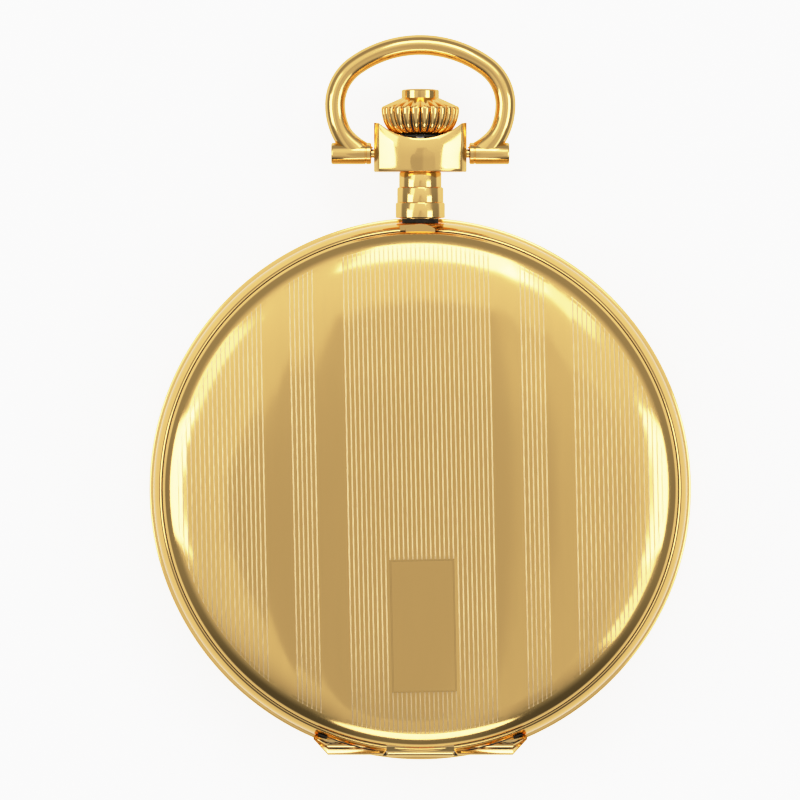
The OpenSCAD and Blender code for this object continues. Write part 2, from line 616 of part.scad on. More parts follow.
// Movement
screw_dir = 100;
module movement_ring() color("darkkhaki") difference() {
    ring(cavity_r - run_gap, plate_r + 0.02, plate_z0 - 0.6, plate_z1 - 0.5);
    box([-3.2, 0, 0], [3.2, BIG, BIG]);
    at(leaf_pivot) disc(0.4, 0, BIG);
    for (s = [-1, 1]) rotate(s * screw_dir) at([0, plate_r + 0.9]) disc(0.4, 0, BIG);
}
module case_screws() color("slategray") for (s = [-1, 1]) rotate(s * screw_dir) {
    at([0, plate_r + 0.9]) disc(0.4, plate_z0 - 0.6, plate_z1 - 1);
    at([0, plate_r + 0.9]) disc(0.9, plate_z0 - 0.9, plate_z0 - 0.6);
}
module main_plate() color("silver") difference() {
    union() {
        disc(plate_r, plate_z0, plate_z1);
        // Core that the crown wheel turns on
        at(crown_wheel_at) post(core_r, bridge_z0 - 0.5, plate_z0 + 0.01);
    }
    at(barrel_at) disc(barrel_n * barrel_m / 2 + 0.5, 0, barrel_top + 0.1);
    for (p = [third_at, fourth_at, escape_at, pallet_at, balance_at, barrel_at])
        at(p) post(0.55, plate_z0 - 1, plate_z0 + 0.5);
    at(third_at) post(pivot_r + pivot_gap, 0, plate_z0 + 1);
    at(escape_at) post(pivot_r + pivot_gap, 0, plate_z0 + 1);
    at(pallet_at) post(pivot_r + pivot_gap, 0, plate_z0 + 1);
    at(balance_at) post(pivot_r + pivot_gap, 0, plate_z0 + 1);
    at(barrel_at) post(1.2 + pivot_gap, 0, barrel_top + 0.6);
    at(fourth_at) post(0.3 + pivot_gap, 0, BIG);
    post(0.9, 0, BIG);
    post(1.6, 0, plate_z0 + 0.5);
    for (p = concat(barrel_feet, train_feet, [cock_foot])) at(p) post(0.4, 0, plate_z0 + 0.95);
    rod(winding_r + 0.35, arbor_y0 - 0.3, BIG);
    box([-2.1, arbor_y0 - 0.3, 0], [2.1, BIG, pendant_z]);
    at(minute_at) post(0.3, plate_z1 - 1, BIG);
}
barrel_top = plate_z0 + 1.05;
module bridge_slab() disc(plate_r - 0.4, bridge_z0, bridge_z1);
module bridge_foot(p) at(p) post(0.95, bridge_z0, plate_z0);
barrel_feet = calibre * [[-16.3, -1.6], [-15, 11], [-4.6, 17.4], [7.4, 16.4]];
train_feet = calibre * [[17.4, 3.2], [14, -11.5], [5.6, -17]];
cock_foot = balance_at + calibre * [-1.4, -6.2];
module barrel_bridge() color("gainsboro") difference() {
    union() {
        intersection() {
            bridge_slab();
            translate([0, 0, bridge_z0]) linear_extrude(bridge_t) polygon(calibre * [
                [-BIG, -2.6], [-9, -2.6], [-2.4, 1.2], [9.8, 13], [9.8, BIG], [-BIG, BIG]]);
        }
        for (p = barrel_feet) bridge_foot(p);
    }
    for (p = barrel_feet) at(p) post(0.4, 0, BIG);
    at(barrel_at) post(1 + pivot_gap, 0, BIG);
    at(crown_wheel_at) disc(contrate_r + contrate_w + 0.25, 0, BIG);
    box([-contrate_r - 0.2, crown_wheel_at[1], 0], [contrate_r + 0.2, BIG, BIG]);
}
module train_bridge() color("gainsboro") difference() {
    union() {
        intersection() {
            bridge_slab();
            translate([0, 0, bridge_z0]) linear_extrude(bridge_t) polygon(calibre * [
                [-2, 0.8], [2.4, -1.6], [18.8, 7], [BIG, 7], [BIG, -BIG], [-3.2, -BIG],
                [-6.2, -13.4], [-4.4, -9.8], [-2, -9]]);
        }
        for (p = train_feet) bridge_foot(p);
    }
    for (p = train_feet) at(p) post(0.4, 0, BIG);
    for (p = [[0, 0], third_at, fourth_at, escape_at]) at(p) post(0.55, bridge_z0 - 1, bridge_z1 + 1);
}
module balance_cock() color("gainsboro") difference() {
    foot = cock_foot;
    union() {
        at(balance_at) post(1.8, cock_z0, cock_z0 + 0.6);
        at(balance_at) translate([0, 0, cock_z0]) linear_extrude(0.6) polygon(calibre * [
            [-1.7, 0], [1.7, 0], [0.6, -6.8], [-2.8, -5.8]]);
        at(foot) post(1, cock_z0, plate_z0);
    }
    at(balance_at) post(0.55, 0, BIG);
    at(foot) post(0.4, 0, BIG);
}
module pallet_bridge() color("gainsboro") difference() {
    foot = pallet_at + calibre * [0.6, -3.2];
    z = plate_z0 - 1.05;
    union() {
        at(pallet_at) post(0.7, z, z + wheel_t);
        at(pallet_at) translate([0, 0, z]) linear_extrude(wheel_t) polygon(calibre * [
            [-0.6, 0], [0.6, 0.3], [1.1, -3.2], [0, -3.2]]);
        at(foot) post(0.6, z, plate_z0);
    }
    at(pallet_at) post(pivot_r + pivot_gap, 0, BIG);
    at(foot) post(0.3, 0, plate_z0 - 0.3);
}
module barrel() color("khaki") at(barrel_at) difference() {
    r = barrel_n * barrel_m / 2;
    union() {
        gear(barrel_n, barrel_m, barrel_dir + 180, barrel_wheel_z, 0.25);
        disc(r - 0.6, barrel_wheel_z, barrel_top);
    }
    disc(r - 0.9, barrel_wheel_z + 0.25, barrel_top - 0.2);
    post(1 + pivot_gap, 0, BIG);
}
module barrel_arbor() color("silver") at(barrel_at) {
    post(1, bridge_z0 - 0.1, barrel_wheel_z - 0.05);
    post(1, barrel_wheel_z - 0.06, barrel_top + 0.05);
    post(1.2, barrel_wheel_z + 0.3, barrel_top - 0.25);
    post(1, barrel_top, barrel_top + 0.5);
}
// Points of a flat spiral strip of thickness t, out along its inner edge and back
function spiral(r0, r1, t, turns, per_turn) =
    let (n = turns * per_turn)
    concat([for (i = [0 : n]) on_spiral(r0, r1, n, i, 360 / per_turn)],
           [for (i = [n : -1 : 0]) on_spiral(r0 + t, r1 + t, n, i, 360 / per_turn)]);
function on_spiral(r0, r1, n, i, step) = (r0 + (r1 - r0) * i / n) * [cos(i * step), sin(i * step)];
module mainspring() color("slategray") at(barrel_at)
    translate([0, 0, barrel_wheel_z + 0.35]) linear_extrude(barrel_top - barrel_wheel_z - 0.65)
        polygon(spiral(3.4 * calibre, barrel_n * barrel_m / 2 - 1.1, 0.16 * calibre, 7, 24));
module ratchet_wheel() color("silver") at(barrel_at) difference() {
    gear(ratchet_n, winding_m, direction(barrel_at, crown_wheel_at), bridge_z0 - 0.4, 0.3);
    post(1, 0, bridge_z0 + 1);
}
module crown_wheel() color("silver") at(crown_wheel_at) {
    phase = direction(crown_wheel_at, barrel_at) + 180 / crown_wheel_n;
    top_z = pendant_z - winding_r + 0.12 * calibre;
    difference() {
        gear(crown_wheel_n, winding_m, phase, bridge_z0 - 0.4, 0.3);
        post(core_r + pivot_gap, 0, BIG);
    }
    difference() {
        ring(contrate_r + contrate_w, contrate_r - contrate_w, bridge_z0 - 0.1, top_z);
        for (i = [0 : crown_wheel_n - 1]) rotate(90 + i * 360 / crown_wheel_n)
            box([contrate_r - 1, -0.21 * calibre, top_z - 0.36],
                [contrate_r + 1, 0.21 * calibre, top_z + 1]);
    }
}
click_at = barrel_at + 8.2 * calibre * [cos(215), sin(215)];
module click() color("slategray") {
    tip_r = ratchet_n * winding_m / 2 + winding_m;
    tip = barrel_at + tip_r * [cos(192), sin(192)];
    difference() {
        union() {
            at(click_at) post(0.8, bridge_z0 - 0.4, bridge_z0 - 0.1);
            translate([0, 0, bridge_z0 - 0.4]) linear_extrude(0.3)
                polygon([click_at + calibre * [-0.6, 0.5], click_at + calibre * [0.7, 0.3], tip,
                         tip + calibre * [-0.5, -0.1]]);
        }
        at(click_at) post(0.4 + pivot_gap, 0, BIG);
    }
}
module center_wheel() color("khaki") {
    wheel(center_n, center_m, direction([0, 0], third_at), center_wheel_z, 5, 1.1);
    gear(center_pinion_n, barrel_m, barrel_dir + 180 / center_pinion_n,
         center_wheel_z + wheel_t - 0.01, 0.75);
    arbor(0.55, center_wheel_z - 0.1, plate_z0 + 0.3, bridge_z0 + 0.1, plate_z0 + 0.4);
    post(0.45, plate_z0 + 0.25, dial_z0 + dial_t + 0.8);
}
module third_wheel() color("khaki") at(third_at) {
    wheel(third_n, third_m, direction(third_at, fourth_at), third_wheel_z, 5, 0.9);
    gear(third_pinion_n, center_m, direction(third_at, [0, 0]) + 180 / third_pinion_n,
         third_wheel_z + wheel_t - 0.01, 0.55);
    arbor(0.35, third_wheel_z - 0.08, plate_z0 - 0.1, bridge_z0 + 0.1, plate_z0 + 0.4);
}
module fourth_wheel() color("khaki") at(fourth_at) {
    wheel(fourth_n, fourth_m, escape_dir, fourth_wheel_z, 5, 0.9);
    gear(fourth_pinion_n, third_m, direction(fourth_at, third_at) + 180 / fourth_pinion_n,
         third_wheel_z - 0.05, 0.35);
    arbor(0.35, third_wheel_z - 0.08, plate_z0 - 0.1, bridge_z0 + 0.1, plate_z0 + 0.4);
    post(0.25, plate_z0 + 0.3, dial_z0 + dial_t + 0.2);
}
module escape_wheel() color("silver") at(escape_at) {
    step = 360 / escape_n;
    root = 1.95;
    tip = 2.6;
    difference() {
        translate([0, 0, escape_wheel_z]) linear_extrude(wheel_t) polygon([
            for (i = [0 : escape_n - 1]) for (c = [[root, 0.05], [tip, 0.42], [tip, 0.55], [root, 0.5]])
                let (a = (i + c[1]) * step) calibre * c[0] * [cos(a), sin(a)]]);
        difference() {
            post(1.65, 0, BIG);
            post(0.7, 0, BIG + 1);
            for (i = [0 : 3]) rotate(90 * i) block([0, -0.18, -1], [2, 0.18, BIG + 2]);
        }
    }
    gear(escape_pinion_n, fourth_m, escape_dir + 180 + 180 / escape_pinion_n,
         fourth_wheel_z - 0.1, 0.38);
    arbor(0.22, escape_wheel_z - 0.1, plate_z0 - 0.1, bridge_z0 + 0.1, plate_z0 + 0.4);
}
module pallet_fork() color("silver") at(pallet_at) {
    z = escape_wheel_z;
    to_balance = direction(pallet_at, balance_at);
    to_escape = direction(pallet_at, escape_at);
    reach = norm(balance_at - pallet_at) / calibre - 1.1;
    rotate(to_balance) block([0, -0.16, z], [reach, 0.16, z + wheel_t]);
    rotate(to_balance) for (s = [-1, 1]) at([0, s * 0.3 * calibre])
        block([reach - 0.2, -0.12, z], [reach + 0.45, 0.12, z + wheel_t]);
    rotate(to_balance) block([reach - 0.3, -0.42, z], [reach - 0.1, 0.42, z + wheel_t]);
    for (s = [-1, 1]) rotate(to_escape + s * 62) {
        block([0, -0.2, z], [1.5, 0.2, z + wheel_t]);
        at([1.35 * calibre, 0]) rotate(-s * 50) block([0, -0.14, z], [0.5, 0.14, z + wheel_t]);
    }
    arbor(0.28, z - 0.02, plate_z0 - 0.1, z - 0.35, plate_z0 + 0.4);
}
module balance_wheel() color("gold") at(balance_at) {
    hoop(balance_r, balance_r - 0.5, balance_z, balance_z + 0.45);
    block([-balance_r + 0.3, -0.3, balance_z + 0.1], [balance_r - 0.3, 0.3, balance_z + 0.35]);
    for (i = [0 : 11]) rotate(15 + i * 30)
        translate([calibre * balance_r - 0.05, 0, balance_z + 0.22]) rotate([0, 90, 0])
            cylinder(r = 0.16, h = 0.2);
    post(0.75, balance_z + 0.34, balance_z + 0.6);
    at(0.45 * calibre * [cos(to_fork()), sin(to_fork())]) post(0.12, balance_z + 0.59, escape_wheel_z + wheel_t);
    arbor(0.25, balance_z - 0.35, plate_z0 - 0.1, cock_z0 + 0.1, plate_z0 + 0.4);
}
function to_fork() = direction(balance_at, pallet_at);
module hairspring() color("steelblue") at(balance_at) translate([0, 0, balance_z - 0.28]) {
    linear_extrude(0.15) polygon(calibre * spiral(0.5, 3, 0.06, 9, 20));
    hoop(0.55, 0.25, 0, 0.15);
}

// Motion work, dial and hands
module cannon_pinion() color("silver") difference() {
    union() {
        gear(cannon_n, motion_mod, minute_dir + 180 / cannon_n, plate_z1 + 0.03, 0.24);
        post(0.75, plate_z1 + 0.26, dial_z0 + dial_t + 0.75);
    }
    post(0.45, 0, BIG);
}
module minute_wheel() color("khaki") at(minute_at) {
    gear(minute_n, motion_mod, minute_dir + 180, plate_z1 + 0.05, 0.15);
    gear(minute_pinion_n, hour_mod, minute_dir + 180 + 180 / minute_pinion_n, plate_z1 + 0.19, 0.3);
    post(0.3 - pivot_gap, plate_z1 - 0.8, plate_z1 + 0.06);
}
module hour_wheel() color("khaki") difference() {
    union() {
        gear(hour_n, hour_mod, minute_dir, plate_z1 + 0.31, 0.16);
        post(1.15, plate_z1 + 0.4, dial_z0 + dial_t + 0.35);
    }
    post(0.75 + pivot_gap, 0, BIG);
}
module dial() color("white") difference() {
    disc(dial_r, dial_z0, dial_z0 + dial_t);
    post(1.15 + 0.1, 0, BIG);
    at(fourth_at) post(0.4, 0, BIG);
    at(fourth_at) hoop(seconds_len + 1.3, seconds_len + 1.1, dial_z0 + dial_t - 0.05, BIG);
}
// Strokes of the plain numerals, one upright, slanting or crossed stroke each
module stroke(x0, x1) translate([0, 0, dial_z0 + dial_t]) linear_extrude(0.05)
    polygon(calibre * [[x0 - 0.16, -numeral_h / 2], [x0 + 0.16, -numeral_h / 2],
                       [x1 + 0.16, numeral_h / 2], [x1 - 0.16, numeral_h / 2]]);
numerals = ["XII", "I", "II", "III", "IIII", "V", "VI", "VII", "VIII", "IX", "X", "XI"];
function width(c) = c == "I" ? 0.62 : 1.5;
function place(word, i) = i == 0 ? 0 : place(word, i - 1) + (width(word[i - 1]) + width(word[i])) / 2;
module numeral(word) {
    n = len(word);
    middle = place(word, n - 1) / 2;
    for (i = [0 : n - 1]) let (x = place(word, i) - middle, c = word[i]) {
        if (c == "I") stroke(x, x);
        if (c == "V") {
            stroke(x, x - 0.5);
            stroke(x, x + 0.5);
        }
        if (c == "X") {
            stroke(x - 0.5, x + 0.5);
            stroke(x + 0.5, x - 0.5);
        }
    }
}
module hour_numerals() color("black") for (i = [0 : 11]) if (i != 6)
    rotate(-30 * i) at([0, calibre * numeral_r]) numeral(numerals[i]);
module hand(length, w, z, hub_r, hole_r, tail) difference() {
    union() {
        translate([0, 0, z]) linear_extrude(0.12) polygon(calibre * [
            [-w / 2, -tail], [w / 2, -tail], [w, length * 0.55], [0, length], [-w, length * 0.55]]);
        post(hub_r, z - 0.05, z + 0.17);
    }
    post(hole_r, 0, BIG);
}
hands_z = dial_z0 + dial_t;
module hour_hand() color("midnightblue") hand(hour_len, 0.55, hands_z + 0.22, 1.45, 1.15, 0);
module minute_hand() color("midnightblue") hand(minute_len, 0.42, hands_z + 0.56, 1.1, 0.75, 0);
module seconds_hand() color("midnightblue") at(fourth_at)
    hand(seconds_len, 0.12, hands_z + 0.06, 0.42, 0.25, 0.9);

// Jewels and screws
module jewel(p, z, hole) at(p) hoop(0.55, hole + pivot_gap, z, z + 0.4);
module jewels() color("crimson") {
    for (p = [[0, 0], third_at, fourth_at, escape_at]) jewel(p, bridge_z0 + 0.15, pivot_r);
    for (p = [third_at, escape_at, pallet_at, balance_at]) jewel(p, plate_z0 + 0.05, pivot_r);
    jewel(fourth_at, plate_z0 + 0.05, 0.25);
    jewel(balance_at, cock_z0 + 0.1, pivot_r);
}
module bridge_screw(p, top) {
    at(p) post(0.4, top, plate_z0 + 0.9);
    at(p) post(0.85, top - 0.25, top);
}
module bridge_screws() color("slategray") {
    for (p = concat(barrel_feet, train_feet)) bridge_screw(p, bridge_z0);
    bridge_screw(cock_foot, cock_z0);
    at(click_at) post(0.4, bridge_z0 - 0.5, bridge_z0);
}

back_cover();
case_band();
dust_cover();
front_lid();
lid_knuckle();
hinge_bar();
hinge_pin();
lift_spring();
lock_spring();
lock_spring_screw();
crystal_bezel();
crystal();
crystal_gasket();
pendant_neck();
pendant_head();
bow();
bow_pins();
crown();
release_button();
button_spring();
winding_stem();
winding_arbor();
movement_ring();
case_screws();
dial();
hour_numerals();
hour_hand();
minute_hand();
seconds_hand();
main_plate();
barrel_bridge();
train_bridge();
balance_cock();
pallet_bridge();
barrel();
barrel_arbor();
mainspring();
ratchet_wheel();
crown_wheel();
click();
center_wheel();
third_wheel();
fourth_wheel();
escape_wheel();
pallet_fork();
balance_wheel();
hairspring();
cannon_pinion();
minute_wheel();
hour_wheel();
jewels();
bridge_screws();
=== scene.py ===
# %% [markdown]
# # A full hunter pocket watch
# A full hunter is a pocket watch whose hinged metal lid covers the whole dial.
# This one lies on its back with the lid shut. The bow, the crown and the pendant are at the top,
# and the hinge is at the bottom. The construction model gives the frame: its bodies move, and each
# piece made here rides on one of them. Sizes below are in millimetres and are scaled to metres.

# %% Start
import json
import math

import bmesh
import bpy
from mathutils import Matrix, Vector


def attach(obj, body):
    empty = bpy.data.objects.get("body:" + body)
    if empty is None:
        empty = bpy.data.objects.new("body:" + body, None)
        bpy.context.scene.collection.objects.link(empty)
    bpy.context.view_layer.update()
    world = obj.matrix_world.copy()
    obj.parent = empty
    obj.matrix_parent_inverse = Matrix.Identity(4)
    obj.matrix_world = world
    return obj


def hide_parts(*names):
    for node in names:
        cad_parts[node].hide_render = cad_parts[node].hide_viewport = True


MM = 0.001
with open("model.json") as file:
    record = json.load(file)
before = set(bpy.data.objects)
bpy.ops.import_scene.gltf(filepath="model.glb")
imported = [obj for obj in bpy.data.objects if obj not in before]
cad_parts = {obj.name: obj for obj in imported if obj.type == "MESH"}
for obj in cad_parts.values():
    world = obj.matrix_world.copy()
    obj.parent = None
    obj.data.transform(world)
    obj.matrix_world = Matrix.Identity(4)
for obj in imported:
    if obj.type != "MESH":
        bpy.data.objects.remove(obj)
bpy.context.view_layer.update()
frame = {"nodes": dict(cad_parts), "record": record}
nodes = frame["nodes"]

# %% [markdown]
# The sizes that several pieces share are named once. They repeat those of the construction model:
# the rear ring is the widest circle, the band stands on it, and the lid closes on the band.

# %% Shared sizes
REAR_R, BAND_R, LID_R = 25.0, 24.6, 23.66
BACK_TOP, BAND_Z0, BAND_Z1 = 3.6, 3.65, 9.6
LID_Z0, RIM_Z, LID_RISE = 9.65, 10.25, 2.75
SEAT_R, LID_WALL = 22.3, 0.5
PENDANT_Z, PIVOT_Y = 5.9, 30.9
HEAD_Y0, HEAD_Y1, HEAD_HALF = 29.2, 33.75, 4.26
HINGE_Y, HINGE_Z = -24.0, 8.6
CROWN_Y0, CROWN_Y1, CROWN_Y2, CROWN_R = 32.61, 35.16, 36.01, 3.61
NECK_STEPS = (2.27, 2.13, 1.95)
PATTERN_TURN = math.radians(1.2)


# %% [markdown]
# A turned piece, such as a case ring, is made as on a lathe: its half outline is drawn once and
# spun round the axis. The outline is drawn as distance from the axis and height along it.

# %% Turned forms
def turned(bm, outline, steps=192, closed=False):
    """Spins an outline of (radius, height) points round Z. Points on the axis are welded."""
    verts = [bm.verts.new((r * MM, 0, z * MM)) for r, z in outline]
    edges = [bm.edges.new(pair) for pair in zip(verts, verts[1:])]
    if closed:
        edges.append(bm.edges.new((verts[-1], verts[0])))
    bmesh.ops.spin(bm, geom=verts + edges, cent=(0, 0, 0), axis=(0, 0, 1), angle=math.tau, steps=steps,
                   use_merge=False)
    bmesh.ops.remove_doubles(bm, verts=bm.verts, dist=1e-7)


def join_part(bm, part):
    """Adds a part that was shaped by itself to a larger bmesh."""
    holder = bpy.data.meshes.new("part")
    part.to_mesh(holder)
    part.free()
    bm.from_mesh(holder)
    bpy.data.meshes.remove(holder)


def new_piece(bm, name):
    """Turns a bmesh into an object of the scene."""
    mesh = bpy.data.meshes.new(name)
    bm.to_mesh(mesh)
    bm.free()
    piece = bpy.data.objects.new(name, mesh)
    bpy.context.scene.collection.objects.link(piece)
    return piece


def finish_mesh(bm, name, sharp=35, smooth=True, even=True):
    """Turns a bmesh into an object with even normals, and keeps creases sharper than an angle."""
    if even:
        bmesh.ops.recalc_face_normals(bm, faces=bm.faces)
    for face in bm.faces:
        face.smooth = smooth
    for edge in bm.edges:
        if len(edge.link_faces) == 2 and edge.calc_face_angle(0) > math.radians(sharp):
            edge.smooth = False
    return new_piece(bm, name)


def place(piece, body, material, slot, *stands_for):
    """Gives a piece its material and its body, and hides the construction nodes that it stands for."""
    piece.data.materials.clear()
    piece.data.materials.append(material)
    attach(piece, body)
    if stands_for:
        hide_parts(*stands_for)
    print(piece.name, len(piece.data.polygons), "faces")


def along_pendant(bm):
    """Turns what was spun round Z so that it lies along the pendant's axis."""
    turn = Matrix.Rotation(math.radians(-90), 4, "X")
    bmesh.ops.transform(bm, matrix=Matrix.Translation((0, 0, PENDANT_Z * MM)) @ turn, verts=bm.verts)


def along_x(bm, x, y, z, side=1):
    """Lays what was spun round Z across the watch, from a place towards one side."""
    turn = Matrix.Rotation(side * math.pi / 2, 4, "Y")
    bmesh.ops.transform(bm, matrix=Matrix.Translation((x * MM, y * MM, z * MM)) @ turn, verts=bm.verts)


# %% [markdown]
# Real polished gold isn't a perfect mirror. It has faint polishing lines, slow waves left by the
# buffing wheel, and a little haze. These are drawn by one shader group that gives a grey value and
# a bent normal, which each metal then uses for its roughness and its surface.

# %% Wear group
def set_inputs(node, values):
    """Sets inputs of a shader node by their names."""
    for label, value in values.items():
        node.inputs[label].default_value = value


def wear_group():
    """A node group: fine lines and slow waves in object space, as a value and a normal."""
    group = bpy.data.node_groups.new("polish", "ShaderNodeTree")
    face = group.interface
    sockets = (("Fine", "NodeSocketFloat", 900.0), ("Stretch", "NodeSocketVector", (1, 1, 1)),
               ("Depth", "NodeSocketFloat", 0.03), ("Wave", "NodeSocketFloat", 0.05))
    for label, kind, value in sockets:
        face.new_socket(name=label, in_out="INPUT", socket_type=kind).default_value = value
    face.new_socket(name="Value", in_out="OUTPUT", socket_type="NodeSocketFloat")
    face.new_socket(name="Normal", in_out="OUTPUT", socket_type="NodeSocketVector")
    n, link = group.nodes, group.links.new
    start, end = n.new("NodeGroupInput"), n.new("NodeGroupOutput")
    coords = n.new("ShaderNodeTexCoord")
    stretch = n.new("ShaderNodeVectorMath")
    stretch.operation = "MULTIPLY"
    link(coords.outputs["Object"], stretch.inputs[0])
    link(start.outputs["Stretch"], stretch.inputs[1])
    fine = n.new("ShaderNodeTexNoise")
    fine.inputs["Detail"].default_value = 3
    link(stretch.outputs[0], fine.inputs["Vector"])
    link(start.outputs["Fine"], fine.inputs["Scale"])
    slow = n.new("ShaderNodeTexNoise")
    set_inputs(slow, {"Scale": 160, "Detail": 1})
    link(coords.outputs["Object"], slow.inputs["Vector"])
    bend = n.new("ShaderNodeBump")
    bend.inputs["Distance"].default_value = 0.00002
    link(start.outputs["Depth"], bend.inputs["Strength"])
    link(fine.outputs[0], bend.inputs["Height"])
    sway = n.new("ShaderNodeBump")
    sway.inputs["Distance"].default_value = 0.0002
    link(start.outputs["Wave"], sway.inputs["Strength"])
    link(slow.outputs[0], sway.inputs["Height"])
    link(sway.outputs[0], bend.inputs["Normal"])
    blend = n.new("ShaderNodeMath")
    blend.operation = "MULTIPLY_ADD"
    blend.inputs[1].default_value = 0.6
    link(fine.outputs[0], blend.inputs[0])
    half = n.new("ShaderNodeMath")
    half.operation = "MULTIPLY"
    half.inputs[1].default_value = 0.4
    link(slow.outputs[0], half.inputs[0])
    link(half.outputs[0], blend.inputs[2])
    link(blend.outputs[0], end.inputs["Value"])
    link(bend.outputs[0], end.inputs["Normal"])
    return group


polish = wear_group()
print("wear group", polish.name, len(polish.nodes), "nodes")


# %% [markdown]
# One recipe makes all the metals: a colour, a range of roughness that the wear value picks from,
# and how the fine lines run. Stretching the lines along one axis gives brushed or turned marks.
# Gold keeps some of its yellow even where it is seen at a glancing angle, so its edge tint is warm.

# %% Metals
def worn(name, colour, shade, rough, wear_range, fine, depth, stretch=(1, 1, 1)):
    """A material whose colour, roughness and surface vary with the wear group's value."""
    made = bpy.data.materials.new(name)
    made.use_nodes = True
    n, link = made.node_tree.nodes, made.node_tree.links.new
    shader = n["Principled BSDF"]
    wear = n.new("ShaderNodeGroup")
    wear.node_tree = polish
    set_inputs(wear, {"Fine": fine, "Stretch": stretch, "Depth": depth})
    spread = n.new("ShaderNodeMapRange")
    set_inputs(spread, {"From Min": wear_range[0], "From Max": wear_range[1],
                        "To Min": rough[0], "To Max": rough[1]})
    link(wear.outputs["Value"], spread.inputs["Value"])
    link(spread.outputs[0], shader.inputs["Roughness"])
    tint = n.new("ShaderNodeMix")
    tint.data_type = "RGBA"
    tint.inputs[6].default_value = (*colour, 1)
    tint.inputs[7].default_value = (*(c * shade for c in colour), 1)
    link(wear.outputs["Value"], tint.inputs[0])
    link(tint.outputs[2], shader.inputs["Base Color"])
    link(wear.outputs["Normal"], shader.inputs["Normal"])
    return made


def metal(name, colour, rough, fine=900, stretch=(1, 1, 1), depth=0.03):
    """A metal with worn polish. rough is its (lowest, highest) roughness."""
    made = worn(name, colour, 0.9, rough, (0.3, 0.7), fine, depth, stretch)
    made.node_tree.nodes["Principled BSDF"].inputs["Metallic"].default_value = 1
    return made


gold = metal("polished_gold", (0.93, 0.60, 0.205), (0.05, 0.14))
lid_gold = metal("lid_gold", (0.93, 0.60, 0.205), (0.08, 0.15), stretch=(1, 0.15, 1))
hinge_gold = metal("hinge_gold", (0.92, 0.63, 0.25), (0.08, 0.18))
cut_gold = metal("bright_cut_gold", (0.80, 0.575, 0.30), (0.32, 0.45), fine=2500, depth=0.1)
satin_gold = metal("satin_gold", (0.84, 0.62, 0.26), (0.22, 0.38), fine=2500, depth=0.1)
brass = metal("gilt_brass", (0.80, 0.60, 0.26), (0.20, 0.34), fine=2500, depth=0.1)
nickel = metal("nickel_plate", (0.76, 0.74, 0.70), (0.16, 0.30), fine=1800, stretch=(1, 0.1, 1),
               depth=0.2)
steel = metal("polished_steel", (0.62, 0.62, 0.64), (0.10, 0.22))
blue_steel = metal("blued_steel", (0.05, 0.10, 0.36), (0.12, 0.25))
for yellow in (gold, lid_gold, hinge_gold):
    yellow.node_tree.nodes["Principled BSDF"].inputs["Specular Tint"].default_value = (1.0, 0.85, 0.6, 1)
# A matte near-black, used as painted shade in the gaps and hollows that stay dark.
painted_shade = metal("painted_shade_black", (0.012, 0.009, 0.006), (0.7, 0.95), fine=1500, depth=0.2)
painted_shade.node_tree.nodes["Principled BSDF"].inputs["Metallic"].default_value = 0
print("metals", [m.name for m in bpy.data.materials])

# %% [markdown]
# The lid is a shallow dome with a rounded shoulder, pressed from sheet. Its outline is a squared
# ellipse: nearly flat over the middle, then turning down quickly near the edge.


# %% Lid outline
def dome_z(r):
    """Height of the dome at a distance from the middle."""
    return RIM_Z + LID_RISE * math.sqrt(max(0.0, 1 - (r / LID_R) ** 4))


def dome_points(radius, rise, foot, first, steps):
    """Points of the dome's outline from its rim in to a distance from the middle."""
    last = math.asin(math.sqrt(max(0.0, 1 - (first / radius) ** 4)))
    return [(radius * math.cos(last * i / steps) ** 0.5, foot + rise * math.sin(last * i / steps))
            for i in range(steps + 1)]


print("lid top at", round(dome_z(0), 2), "mm")

# %% [markdown]
# The lines on the lid are cut by a straight-line engine, one at a time, while the case is moved
# a little sideways after each cut. What stays between two cuts is a thin bright ridge. The ridges
# come in bands: a wide one in the middle, two narrow ones, and two that run out to the sides. The
# metal between the bands is left plain. Each ridge sways a little, as the guide of the engine did.
# The narrow faces on the crests are marked, and get a paler and rougher gold than the rest.

# %% Engine-turned lines
PITCH, DEPTH, LINES_R = 0.415, 0.018, 22.42
BANDS = ((33, 0.0), (6, 10.58), (6, -10.58), (20, 18.25), (20, -18.25))
CARTOUCHE_W, CARTOUCHE_H, CARTOUCHE_Y = 5.95, 12.2, -12.5
REACH = LINES_R + 0.03
SWAY, SWAY_LENGTH = 0.014, 1.75
ROWS = 140


def ridge_places():
    """Middle of every ridge, with its number, from left to right."""
    places = []
    for count, middle in BANDS:
        places += [(middle + (i - (count - 1) / 2) * PITCH, i) for i in range(count)]
    return sorted(places)


def columns():
    """(place, level, number) of each upright row of vertices. level 0 is a crest, 1 a floor."""
    out = []
    ridges = ridge_places()
    for k, (x, i) in enumerate(ridges):
        start = k == 0 or x - ridges[k - 1][0] > 1.5 * PITCH
        end = k == len(ridges) - 1 or ridges[k + 1][0] - x > 1.5 * PITCH
        if start:
            out.append((x - 1.8 * PITCH, 0, i))
            out.append((x - 0.3 * PITCH, 1, i))
        out += [(x - 0.13 * PITCH, 1, i), (x - 0.05 * PITCH, 0, i),
                (x + 0.05 * PITCH, 0, i), (x + 0.13 * PITCH, 1, i)]
        if end:
            out.append((x + 0.3 * PITCH, 1, i))
            out.append((x + 1.8 * PITCH, 0, i))
    out = [c for c in out if abs(c[0]) < REACH * math.cos(math.radians(4))]
    for edge in (REACH * math.cos(math.radians(d)) for d in (3, 1.5)):
        out += [(-edge, 0, 0), (edge, 0, 0)]
    gaps = []
    out.sort()
    for a, b in zip(out, out[1:]):
        if b[0] - a[0] > 0.7:
            parts = int((b[0] - a[0]) / 0.5)
            gaps += [(a[0] + (b[0] - a[0]) * j / parts, 0, 0) for j in range(1, parts)]
    return sorted(out + gaps)


